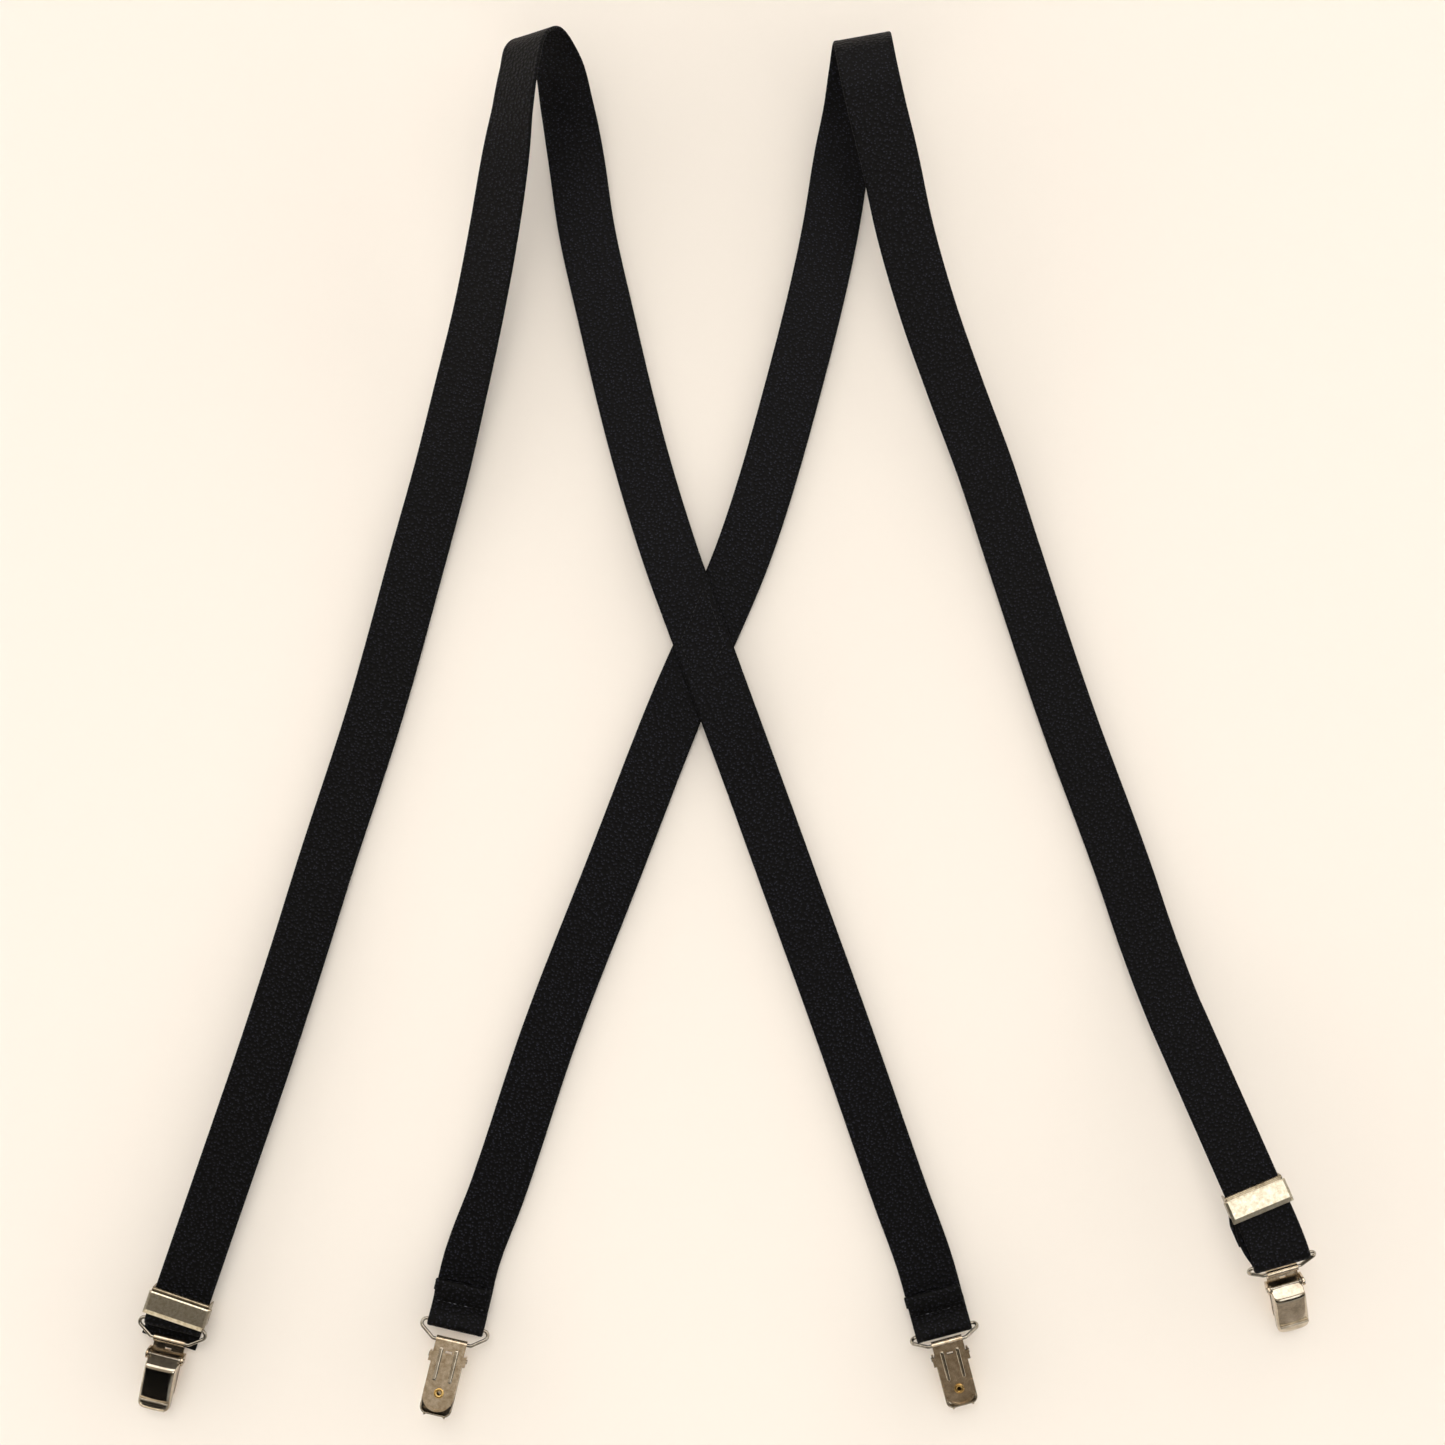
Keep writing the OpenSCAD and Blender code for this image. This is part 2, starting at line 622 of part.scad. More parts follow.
clip_plate(ends[front_left]);  // clip_plate_front_left
eyelet(ends[front_left]);  // eyelet_front_left
grip_pad(ends[front_left]);  // grip_pad_front_left
lever(ends[front_left]);  // lever_front_left
pivot_pin(ends[front_left]);  // pivot_pin_front_left
bail(ends[front_right]);  // bail_front_right
clip_plate(ends[front_right]);  // clip_plate_front_right
eyelet(ends[front_right]);  // eyelet_front_right
grip_pad(ends[front_right]);  // grip_pad_front_right
lever(ends[front_right]);  // lever_front_right
pivot_pin(ends[front_right]);  // pivot_pin_front_right
bail(ends[back_left]);  // bail_back_left
clip_plate(ends[back_left]);  // clip_plate_back_left
eyelet(ends[back_left]);  // eyelet_back_left
grip_pad(ends[back_left]);  // grip_pad_back_left
lever(ends[back_left]);  // lever_back_left
pivot_pin(ends[back_left]);  // pivot_pin_back_left
bail(ends[back_right]);  // bail_back_right
clip_plate(ends[back_right]);  // clip_plate_back_right
eyelet(ends[back_right]);  // eyelet_back_right
grip_pad(ends[back_right]);  // grip_pad_back_right
lever(ends[back_right]);  // lever_back_right
pivot_pin(ends[back_right]);  // pivot_pin_back_right
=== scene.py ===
import bpy
import numpy as np
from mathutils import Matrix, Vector


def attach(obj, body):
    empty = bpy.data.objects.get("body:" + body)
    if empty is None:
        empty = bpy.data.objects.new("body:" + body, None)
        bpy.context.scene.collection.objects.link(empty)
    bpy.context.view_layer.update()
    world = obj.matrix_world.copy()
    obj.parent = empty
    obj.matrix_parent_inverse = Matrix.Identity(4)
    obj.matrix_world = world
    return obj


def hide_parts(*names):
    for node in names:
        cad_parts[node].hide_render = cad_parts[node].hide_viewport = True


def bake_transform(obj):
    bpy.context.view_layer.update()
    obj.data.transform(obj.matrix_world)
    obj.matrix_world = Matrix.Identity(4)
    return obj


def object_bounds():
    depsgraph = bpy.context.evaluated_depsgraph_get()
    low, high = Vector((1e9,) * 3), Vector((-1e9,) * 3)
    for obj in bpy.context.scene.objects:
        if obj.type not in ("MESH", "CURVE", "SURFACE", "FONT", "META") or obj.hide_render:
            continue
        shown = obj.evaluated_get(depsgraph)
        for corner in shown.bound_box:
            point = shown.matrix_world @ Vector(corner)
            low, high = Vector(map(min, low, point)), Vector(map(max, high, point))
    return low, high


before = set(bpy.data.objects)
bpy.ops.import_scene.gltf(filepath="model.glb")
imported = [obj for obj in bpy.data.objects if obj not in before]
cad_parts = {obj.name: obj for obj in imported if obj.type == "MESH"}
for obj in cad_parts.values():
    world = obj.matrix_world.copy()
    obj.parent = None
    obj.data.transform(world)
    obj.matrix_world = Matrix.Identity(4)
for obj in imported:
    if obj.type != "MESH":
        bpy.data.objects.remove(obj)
cadLow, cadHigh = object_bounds()
mm = 0.001
upward = np.array([0, 0, 1.0])
print("suspenders: frame loaded")


# Camera, floor and light

cameraSet = {"height": 800, "seenWidth": 650.25, "over": (0, 5)}    # mm; straight above, looking down
floorSet = {"size": 14.0, "colour": "FFF3E4", "gap": 0.0003}
lightSet = {"band": 24.0, "bandPower": 8, "dome": 0.31,
            "sun": 0.95, "sunWide": 50, "sunFrom": (-0.12, 0.7, 0.7)}
sharpAngle = 55                                                     # degrees; edges past it stay crisp


def hexToLinear(text, alpha=1.0):
    # sRGB bytes to linear light
    parts = np.array([int(text[i:i + 2], 16) for i in (0, 2, 4)]) / 255
    linear = np.where(parts <= 0.04045, parts / 12.92, ((parts + 0.055) / 1.055) ** 2.4)
    return (*[float(v) for v in linear], alpha)


def addNode(tree, kind, settings=None, links=None):
    # one node with its settings and what is plugged into it
    node = tree.nodes.new(kind)
    for key, value in (settings or {}).items():
        if isinstance(key, str) and hasattr(node, key):
            setattr(node, key, value)
        else:
            node.inputs[key].default_value = value
    for key, source in (links or {}).items():
        tree.links.new(source, node.inputs[key])
    return node


def newMaterial(name):
    # an empty material with one shader, ready for its pattern
    material = bpy.data.materials.new(name)
    material.use_nodes = True
    tree = material.node_tree
    tree.nodes.clear()
    shader = addNode(tree, "ShaderNodeBsdfPrincipled")
    addNode(tree, "ShaderNodeOutputMaterial", links={"Surface": shader.outputs["BSDF"]})
    return material, tree, shader


def makeObject(name, points, faces, materials, uvs=None, smooth=True):
    # a mesh in metres, with its place in its points, and one uv for each point where it has a weave
    mesh = bpy.data.meshes.new(name)
    mesh.from_pydata(np.asarray(points, float).reshape(-1, 3).tolist(), [], faces)
    if uvs is not None:
        layer = mesh.uv_layers.new(name="clothUv")
        corners = np.zeros(len(mesh.loops), dtype=np.int32)
        mesh.loops.foreach_get("vertex_index", corners)
        layer.data.foreach_set("uv", np.asarray(uvs, float)[corners].ravel())
    mesh.polygons.foreach_set("use_smooth", [smooth] * len(mesh.polygons))
    if smooth:
        mesh.set_sharp_from_angle(angle=np.radians(sharpAngle))
    for material in materials:
        mesh.materials.append(material)
    mesh.update()
    thing = bpy.data.objects.new(name, mesh)
    bpy.context.scene.collection.objects.link(thing)
    return thing


def openQuads(rows, cols):
    # faces of a grid of points, rows by columns
    i, j = np.meshgrid(np.arange(rows - 1), np.arange(cols - 1), indexing="ij")
    here, onward = i * cols + j, (i + 1) * cols + j
    return np.stack([here, onward, onward + 1, here + 1], 2).reshape(-1, 4)


def closedQuads(rows, around):
    # the same where each row is a closed ring
    i, j = np.meshgrid(np.arange(rows - 1), np.arange(around), indexing="ij")
    k = (j + 1) % around
    here, onward = i * around, (i + 1) * around
    return np.stack([here + j, onward + j, onward + k, here + k], 2).reshape(-1, 4)


def fullTurn(steps):
    # even angles round a circle
    return np.linspace(0, 2 * np.pi, steps, endpoint=False)


camera = bpy.data.objects.new("camera", bpy.data.cameras.new("camera"))
bpy.context.scene.collection.objects.link(camera)
camera.data.lens = camera.data.sensor_width * cameraSet["height"] / cameraSet["seenWidth"]
camera.data.clip_end = 20
camera.location = Vector((*cameraSet["over"], cameraSet["height"])) * mm
bpy.context.scene.camera = camera
bpy.context.scene.view_settings.view_transform = "Standard"

# Matt painted board: pale cream, no gloss to speak of
floorPaint, _, floorShader = newMaterial("mattPaintedBoard")
floorShader.inputs["Base Color"].default_value = hexToLinear(floorSet["colour"])
floorShader.inputs["Roughness"].default_value = 0.9
floorShader.inputs["Specular IOR Level"].default_value = 0.1
half = floorSet["size"] / 2
floorZ = cadLow.z - floorSet["gap"]
floorPoints = [(-half, -half, floorZ), (half, -half, floorZ), (half, half, floorZ), (-half, half, floorZ)]
floor = makeObject("floor", floorPoints, [(0, 1, 2, 3)], [floorPaint], smooth=False)

world = bpy.data.worlds.new("studio")
bpy.context.scene.world = world
world.use_nodes = True
# a tent lit low all round and dim overhead: soft wide shadows, and dark tops on polished metal;
# strength = dome + band * (1 - height)^power, height being the sine of the angle above the floor
skyTree = world.node_tree
sky = skyTree.nodes["Background"]
towards = addNode(skyTree, "ShaderNodeTexCoord")
height = addNode(skyTree, "ShaderNodeSeparateXYZ", links={0: towards.outputs["Generated"]})
lowness = addNode(skyTree, "ShaderNodeMath", {"operation": "SUBTRACT", "use_clamp": True, 0: 1.0},
                  {1: height.outputs[2]})
band = addNode(skyTree, "ShaderNodeMath", {"operation": "POWER", 1: lightSet["bandPower"]},
               {0: lowness.outputs[0]})
glow = addNode(skyTree, "ShaderNodeMath",
               {"operation": "MULTIPLY_ADD", 1: lightSet["band"], 2: lightSet["dome"]},
               {0: band.outputs[0]})
skyTree.links.new(glow.outputs[0], sky.inputs["Strength"])
sky.inputs["Color"].default_value = (1, 1, 1, 1)
sun = bpy.data.lights.new("softSun", "SUN")
sun.energy = lightSet["sun"]
sun.angle = np.radians(lightSet["sunWide"])
sunObject = bpy.data.objects.new("softSun", sun)
sunObject.visible_glossy = False
sunObject.rotation_euler = (-Vector(lightSet["sunFrom"])).to_track_quat("-Z", "Y").to_euler()
bpy.context.scene.collection.objects.link(sunObject)

# Studio cards that only polished metal sees, in metres: colour, strength, corner, and two sides from it
cardSet = {
    "ceilingTop": ("FFFAF6", 2.2, (-2.6, 0.45, 1.41), (5.2, 0, 0), (0, 1.7, 0)),
    "ceilingBack": ("FFF3E2", 0.5, (-2.6, -0.5, 1.42), (5.2, 0, 0), (0, 2.65, 0)),
    "ceilingFront": ("FFF3E2", 0.03, (-2.6, -1.8, 1.42), (5.2, 0, 0), (0, 1.3, 0)),
    "frontCard": ("FFF0E0", 0.42, (-2.6, -1.8, 0.0), (5.2, 0, 0), (0, 0, 0.82)),
    "bevelCard": ("FFF6E6", 2.0, (-1.7, -1.79, 0.48), (1.1, 0, 0), (0, 0, 0.32)),
    "backCard": ("FFF4E6", 0.12, (-2.6, 2.15, 0.0), (5.2, 0, 0), (0, 0, 1.42)),
    "leftCard": ("FFF8EE", 1.35, (-2.6, -1.8, 0.0), (0, 3.95, 0), (0, 0, 0.6)),
    "leftUpper": ("FFF8EE", 0.06, (-2.6, -1.8, 0.6), (0, 3.95, 0), (0, 0, 0.82)),
    "rightCard": ("FFF8EE", 1.35, (2.6, -1.8, 0.0), (0, 3.95, 0), (0, 0, 0.6)),
    "rightUpper": ("FFF8EE", 0.06, (2.6, -1.8, 0.6), (0, 3.95, 0), (0, 0, 0.82)),
    "darkCard": ("000000", 0.0, (-2.0, -1.78, 0.8), (1.62, 0, 0), (0, 0.99, 0.56)),
    "streakCard": ("FFF4E6", 0.1, (-1.1, -1.76, 0.82), (0.1, 0, 0), (0.1, 0.94, 0.53)),
    "plateCard": ("FFE6C4", 0.2, (-0.05, -1.76, 1.36), (0.8, 0, 0), (0, 0.75, 0)),
    "softboxCard": ("FFFFFF", 2.0, (0.26, -0.6, 1.37), (0.6, 0, 0), (0, 0.62, 0)),
}


def reflectedCard(name, colour, power, corner, sideA, sideB):
    # a glowing rectangle: corner, then one side and the other added to it
    material = bpy.data.materials.new(name)
    material.use_nodes = True
    tree = material.node_tree
    tree.nodes.clear()
    glow = addNode(tree, "ShaderNodeEmission", {"Color": hexToLinear(colour), "Strength": power})
    addNode(tree, "ShaderNodeOutputMaterial", links={"Surface": glow.outputs[0]})
    c, a, b = (np.array(v, float) for v in (corner, sideA, sideB))
    card = makeObject(name, [c, c + a, c + a + b, c + b], [(0, 1, 2, 3)], [material], smooth=False)
    card.visible_camera = False
    card.visible_diffuse = False
    card.visible_shadow = False
    card.visible_transmission = False


for cardName, card in cardSet.items():
    reflectedCard(cardName, *card)
print("suspenders: camera, floor and light")


# Frames, as in the part's source

webSet = {"width": 25.4, "thick": 1.4, "gap": 0.1, "hem": 18, "step": 2.4, "overlap": 0.4,
          "beadHigh": 0.07, "beadIn": 1.5, "beadSpread": 0.55,
          "grooveDeep": 0.05, "grooveIn": 2.7, "grooveSpread": 0.5}
# Front frames, in mm and degrees: each stands at "at" with its y axis up the strap, its straight stretch
# runs from "straight" to "bend" on that axis, and "skew" is how far aside the cut end of its hem lies
leftFrame = {"at": (-243, -256, 0), "heading": -18.8, "slope": 1,
             "straight": 100, "skew": 0, "bend": -3}
rightFrame = {"at": (235.8, -204.9, 10.4), "heading": 22.7, "slope": 7,
              "straight": 85, "skew": 2.6, "bend": -11}
# "bar" is the middle of the wire in the webbing; "bail" and "clip" are their tilts; side -1 is face down
ends = {
    "front_left": {"bar": (-245.6, -264.2, 4.5), "heading": -14, "slope": 1,
                   "bail": 1, "clip": 4.5, "side": 1},
    "front_right": {"bar": (245.8, -231.5, 18), "heading": 16, "slope": 7,
                    "bail": 36, "clip": 22, "side": 1},
    "back_left": {"bar": (-119.5, -265, 2.8), "heading": -13, "slope": 0,
                  "bail": -18, "clip": -10.5, "side": -1},
    "back_right": {"bar": (99, -267.5, 2.8), "heading": 15, "slope": 0,
                   "bail": -66, "clip": 9, "side": -1},
}
bailHeight = 7.5                                                    # from bar to bar of the wire
tableZ = 0.8                                                        # middle of webbing that lies flat
frontWebZ, returnWebZ = 5.1, 2.5                                    # heights in a front frame
rearBarZ, rearBarR = 2.1, 0.6
hemFrom = -6                                                        # y where the sewn front hem starts


def unitRows(v):
    # each row at length 1
    return v / np.linalg.norm(v, axis=-1, keepdims=True)


def acrossOf(f):
    # the frame's x axis
    a = np.radians(f["heading"])
    return np.array([np.cos(a), np.sin(a), 0])


def alongOf(f):
    # the frame's y axis, which dips by its slope
    a, s = np.radians(f["heading"]), np.radians(f["slope"])
    return np.array([-np.sin(a) * np.cos(s), np.cos(a) * np.cos(s), -np.sin(s)])


def placeIn(f, y, z):
    # a point, or many, from (y, z) in a frame; its origin is "at" or the bail's bar
    origin = np.array(f.get("at", f.get("bar")), float)
    y, z = np.asarray(y, float)[..., None], np.asarray(z, float)[..., None]
    return origin + y * alongOf(f) + z * np.cross(acrossOf(f), alongOf(f))


def clipPoints(end, local):
    # points of a clip's own frame to the object's, in mm: turned to its side, tilted, then headed
    local = np.asarray(local, float).reshape(-1, 3) * np.array([end["side"], 1, end["side"]])
    t, h, b = np.radians(end["clip"]), np.radians(end["heading"]), np.radians(end["bail"])
    tilted = np.stack([local[:, 0], local[:, 1] * np.cos(t) - local[:, 2] * np.sin(t),
                       local[:, 1] * np.sin(t) + local[:, 2] * np.cos(t)], axis=1)
    tilted += np.array([0, -bailHeight * np.cos(b), -bailHeight * np.sin(b)])
    turned = np.stack([tilted[:, 0] * np.cos(h) - tilted[:, 1] * np.sin(h),
                       tilted[:, 0] * np.sin(h) + tilted[:, 1] * np.cos(h), tilted[:, 2]], axis=1)
    return turned + np.array(end["bar"], float)


def pieceName(word, nodeWord):
    # "lever" and "front_left" make leverFrontLeft
    return word + "".join(part.capitalize() for part in nodeWord.split("_"))


def backHemFrame(end):
    # the frame of a back hem: on the table, under the bar, with the bar's heading
    return {"at": (*end["bar"][:2], 0), "heading": end["heading"], "slope": 0}


# Materials

# Woven rubber-cored elastic, spun polyester over the cores: matt, near black, with a fine pebbled
# weave (0.8 mm in the real cloth, drawn at 1.8 mm so that it shows) painted paler on its tops as painted
# highlight and darker in its gaps as painted shade, a lengthwise rib, and a small dip where the weft
# turns at every loop along each edge, painted dark as painted shade. Spacings and heights are in mm.
elasticSet = {"pebbleAcross": 1.8, "pebbleAlong": 1.4, "ribEvery": 2.3,
              "edgeLoopEvery": 1.7, "edgeBand": 0.75, "pebbleHigh": 0.26, "ribHigh": 0.03, "loopDeep": 0.2,
              "roughness": 0.64, "specular": 0.15}


# colours: the weave's gaps (painted shade), its pebble tops (painted highlight), and the dips of its edge loops
# (painted shade)
def wovenElastic(name, darkHex, paleHex, edgeShadeHex):
    material, tree, shader = newMaterial(name)
    s, cm = elasticSet, 10
    edgeAt = (webSet["width"] / 2 - s["edgeBand"]) / cm
    uv = addNode(tree, "ShaderNodeUVMap", {"uv_map": "clothUv"})            # u across and v along, both in cm
    split = addNode(tree, "ShaderNodeSeparateXYZ", links={0: uv.outputs[0]})
    perCm = (cm / s["pebbleAcross"], cm / s["pebbleAlong"], 1)
    pebbleAt = addNode(tree, "ShaderNodeVectorMath", {"operation": "MULTIPLY", 1: perCm}, {0: uv.outputs[0]})
    pebble = addNode(tree, "ShaderNodeTexVoronoi",
                     {"voronoi_dimensions": "2D", "Scale": 1.0, "Randomness": 1.0},
                     {"Vector": pebbleAt.outputs[0]})
    fuzz = addNode(tree, "ShaderNodeTexNoise",
                   {"noise_dimensions": "2D", "Scale": 16.0, "Detail": 3.0, "Roughness": 0.7},
                   {"Vector": uv.outputs[0]})
    cloud = addNode(tree, "ShaderNodeTexNoise", {"noise_dimensions": "2D", "Scale": 0.35, "Detail": 2.0},
                    {"Vector": uv.outputs[0]})
    # rib = sine of the distance across; loops = sine of the distance along
    ribTurn = addNode(tree, "ShaderNodeMath", {"operation": "MULTIPLY", 1: 2 * np.pi * cm / s["ribEvery"]},
                      {0: split.outputs[0]})
    rib = addNode(tree, "ShaderNodeMath", {"operation": "SINE"}, {0: ribTurn.outputs[0]})
    loopTurn = addNode(tree, "ShaderNodeMath",
                       {"operation": "MULTIPLY", 1: 2 * np.pi * cm / s["edgeLoopEvery"]},
                       {0: split.outputs[1]})
    loop = addNode(tree, "ShaderNodeMath", {"operation": "SINE"}, {0: loopTurn.outputs[0]})
    fromMiddle = addNode(tree, "ShaderNodeMath", {"operation": "ABSOLUTE"}, {0: split.outputs[0]})
    edge = addNode(tree, "ShaderNodeMapRange",
                   {"interpolation_type": "SMOOTHSTEP", "From Min": edgeAt - 0.02, "From Max": edgeAt + 0.03},
                   {"Value": fromMiddle.outputs[0]})
    # edge loops: the dips where the weft turns at each edge are painted dark as painted shade
    loopShadeShare = addNode(tree, "ShaderNodeMapRange", {"From Min": -0.2, "From Max": 0.5},
                       {"Value": loop.outputs[0]})
    edgeLoopShade = addNode(tree, "ShaderNodeMath", {"operation": "MULTIPLY"},
                       {0: edge.outputs[0], 1: loopShadeShare.outputs[0]})
    # colour: pebble tops paler as painted highlight and gaps darker as painted shade, broken by fuzz, with slow
    # clouding over the length
    top = addNode(tree, "ShaderNodeMapRange", {"From Max": 0.6, "To Min": 1.0, "To Max": 0.0},
                  {"Value": pebble.outputs["Distance"]})
    # the pale share follows the pebble tops: painted highlight on the tops, painted shade in the gaps
    topGlintGapShade = addNode(tree, "ShaderNodeMath", {"operation": "MULTIPLY"},
                      {0: top.outputs[0], 1: fuzz.outputs[0]})
    lift = addNode(tree, "ShaderNodeMapRange", {"From Min": 0.27, "From Max": 0.52},
                   {"Value": topGlintGapShade.outputs[0]})
    weave = addNode(tree, "ShaderNodeMix",
                    {"data_type": "RGBA", 6: hexToLinear(darkHex), 7: hexToLinear(paleHex)},
                    {0: lift.outputs[0]})
    cloudShare = addNode(tree, "ShaderNodeMapRange",
                         {"From Min": 0.3, "From Max": 0.7, "To Min": 0.86, "To Max": 1.14},
                         {"Value": cloud.outputs[0]})
    clouded = addNode(tree, "ShaderNodeVectorMath", {"operation": "SCALE"},
                      {0: weave.outputs[2], 3: cloudShare.outputs[0]})
    # the edge loops' dips take the edge colour: painted shade
    edged = addNode(tree, "ShaderNodeMix", {"data_type": "RGBA", 7: hexToLinear(edgeShadeHex)},
                    {0: edgeLoopShade.outputs[0], 6: clouded.outputs[0]})
    tree.links.new(edged.outputs[2], shader.inputs["Base Color"])
    # height = ribs + pebbles - edge loops
    ribHigh = addNode(tree, "ShaderNodeMath", {"operation": "MULTIPLY", 1: s["ribHigh"]}, {0: rib.outputs[0]})
    topHigh = addNode(tree, "ShaderNodeMath", {"operation": "MULTIPLY_ADD", 1: s["pebbleHigh"]},
                      {0: top.outputs[0], 2: ribHigh.outputs[0]})
    edgeHigh = addNode(tree, "ShaderNodeMath", {"operation": "MULTIPLY_ADD", 1: -s["loopDeep"]},
                       {0: edgeLoopShade.outputs[0], 2: topHigh.outputs[0]})
    bump = addNode(tree, "ShaderNodeBump", {"Strength": 0.9, "Distance": mm}, {"Height": edgeHigh.outputs[0]})
    tree.links.new(bump.outputs[0], shader.inputs["Normal"])
    shader.inputs["Roughness"].default_value = s["roughness"]
    shader.inputs["Specular IOR Level"].default_value = s["specular"]
    return material


# colours: gaps and edge dips near black as painted shade, pebble tops paler as painted highlight
elasticOuter = wovenElastic("wovenElasticOuter", "000000", "22222B", "000000")
elasticInner = wovenElastic("wovenElasticInner", "000001", "24252F", "000001")


def spunThread(name, darkHex, paleHex):
    # Spun polyester thread: matt, with the odd paler stitch every 3 mm or so and a fine twist of 0.2 mm
    material, tree, shader = newMaterial(name)
    place = addNode(tree, "ShaderNodeTexCoord")
    shade = addNode(tree, "ShaderNodeTexNoise", {"Scale": 330.0, "Detail": 1.0},
                    {"Vector": place.outputs["Object"]})
    share = addNode(tree, "ShaderNodeMapRange", {"From Min": 0.5, "From Max": 0.66},
                    {"Value": shade.outputs[0]})
    colour = addNode(tree, "ShaderNodeMix",
                     {"data_type": "RGBA", 6: hexToLinear(darkHex), 7: hexToLinear(paleHex)},
                     {0: share.outputs[0]})
    twist = addNode(tree, "ShaderNodeTexNoise", {"Scale": 5000.0, "Detail": 2.0},
                    {"Vector": place.outputs["Object"]})
    bump = addNode(tree, "ShaderNodeBump", {"Strength": 0.5, "Distance": 0.1 * mm},
                   {"Height": twist.outputs[0]})
    tree.links.new(colour.outputs[2], shader.inputs["Base Color"])
    tree.links.new(bump.outputs[0], shader.inputs["Normal"])
    shader.inputs["Roughness"].default_value = 0.7
    return material


hemThread = spunThread("spunPolyesterHem", "0C0C0F", "5E5E64")
crossThread = spunThread("spunPolyesterCross", "030304", "121216")


def platedMetal(name, brightHex, dullHex, roughness, grainMm, grainHigh, patchMm=6.0, roughSpread=0.06):
    # Plated steel: mirror colour set by the plating, a little duller in handled patches, fine grain
    material, tree, shader = newMaterial(name)
    place = addNode(tree, "ShaderNodeTexCoord")
    patch = addNode(tree, "ShaderNodeTexNoise",
                    {"Scale": 1 / (patchMm * mm), "Detail": 4.0, "Roughness": 0.65},
                    {"Vector": place.outputs["Object"]})
    share = addNode(tree, "ShaderNodeMapRange", {"From Min": 0.35, "From Max": 0.7},
                    {"Value": patch.outputs[0]})
    colour = addNode(tree, "ShaderNodeMix",
                     {"data_type": "RGBA", 6: hexToLinear(brightHex), 7: hexToLinear(dullHex)},
                     {0: share.outputs[0]})
    least, most = roughness - roughSpread / 2, roughness + roughSpread / 2
    rough = addNode(tree, "ShaderNodeMapRange", {"To Min": least, "To Max": most},
                    {"Value": patch.outputs[0]})
    grain = addNode(tree, "ShaderNodeTexNoise", {"Scale": 1 / (grainMm * mm), "Detail": 3.0},
                    {"Vector": place.outputs["Object"]})
    bump = addNode(tree, "ShaderNodeBump", {"Strength": 0.6, "Distance": grainHigh * mm},
                   {"Height": grain.outputs[0]})
    tree.links.new(colour.outputs[2], shader.inputs["Base Color"])
    tree.links.new(rough.outputs[0], shader.inputs["Roughness"])
    tree.links.new(bump.outputs[0], shader.inputs["Normal"])
    shader.inputs["Metallic"].default_value = 1.0
    return material


# name, bright and dull colour, roughness, grain width and height in mm, patch width in mm, roughness spread
nickelWire = platedMetal("nickelPlatedWire", "C4BDAF", "8F887B", 0.24, 1.2, 0.02)
nickelLever = platedMetal("polishedNickelLever", "D2C8B6", "A89C88", 0.13, 3.0, 0.01)
nickelPlate = platedMetal("tumbledNickelPlate", "E4D5BE", "B8A283", 0.24, 1.0, 0.015, 2.6, 0.08)
nickelPin = platedMetal("nickelPlatedPin", "CFC6B6", "8C8578", 0.22, 0.8, 0.02)
satinFlap = platedMetal("satinNickelFlap", "EFE5D0", "C9BA9A", 0.29, 0.8, 0.09, 1.6, 0.1)
adjusterSteel = platedMetal("nickelPlatedAdjuster", "B5A78E", "7E715B", 0.26, 0.9, 0.03)
brassEyelet = platedMetal("rolledBrassEyelet", "FFDF9C", "DDB05A", 0.2, 0.7, 0.01)


def mouldedPad(name):
    # Moulded thermoplastic rubber: dark, matt, with a fine texture of about 0.5 mm
    material, tree, shader = newMaterial(name)
    place = addNode(tree, "ShaderNodeTexCoord")
    grain = addNode(tree, "ShaderNodeTexNoise", {"Scale": 2200.0, "Detail": 2.0},
                    {"Vector": place.outputs["Object"]})
    colour = addNode(tree, "ShaderNodeMix",
                     {"data_type": "RGBA", 6: hexToLinear("17171A"), 7: hexToLinear("2B2B2F")},
                     {0: grain.outputs[0]})
    bump = addNode(tree, "ShaderNodeBump", {"Strength": 0.4, "Distance": 0.1 * mm},
                   {"Height": grain.outputs[0]})
    tree.links.new(colour.outputs[2], shader.inputs["Base Color"])
    tree.links.new(bump.outputs[0], shader.inputs["Normal"])
    shader.inputs["Roughness"].default_value = 0.62
    return material


padRubber = mouldedPad("mouldedPadRubber")
print("suspenders: materials")


# Webbing

def webbingProfile(extra=0.0):
    # half-round edges and flat faces, with a bead and a groove along each edge, each a bell curve of
    # the distance from it; points are across and through, in mm, and side is 0 on the inner face
    w, t = webSet["width"] / 2 + extra, webSet["thick"] / 2 + extra
    flat = np.linspace(-w + t, w - t, 26)
    inFrom = w - np.abs(flat)
    rise = (webSet["beadHigh"] * np.exp(-((inFrom - webSet["beadIn"]) / webSet["beadSpread"]) ** 2)
            - webSet["grooveDeep"] * np.exp(-((inFrom - webSet["grooveIn"]) / webSet["grooveSpread"]) ** 2))
    turn = np.linspace(-np.pi / 2, np.pi / 2, 7)[1:-1]
    right = np.stack([w - t + t * np.cos(turn), t * np.sin(turn)], 1)
    left = np.stack([-(w - t) - t * np.cos(turn), -t * np.sin(turn)], 1)
    bottom = np.stack([flat, -t - rise], 1)
    top = np.stack([flat[::-1], t + rise[::-1]], 1)
    loop = np.concatenate([bottom, right, top, left])
    side = np.concatenate([np.ones(len(bottom)), np.ones(len(right)), np.zeros(len(top)), np.ones(len(left))])
    return loop, side


def ringsThrough(middles, wides):
    # each ring: middle, width direction square to the path, and the direction through the cloth
    ahead = unitRows(np.gradient(middles, axis=0))
    wides = np.broadcast_to(np.asarray(wides, float), middles.shape)
    wides = unitRows(wides - np.sum(wides * ahead, 1, keepdims=True) * ahead)
    return middles.copy(), wides, np.cross(wides, ahead)


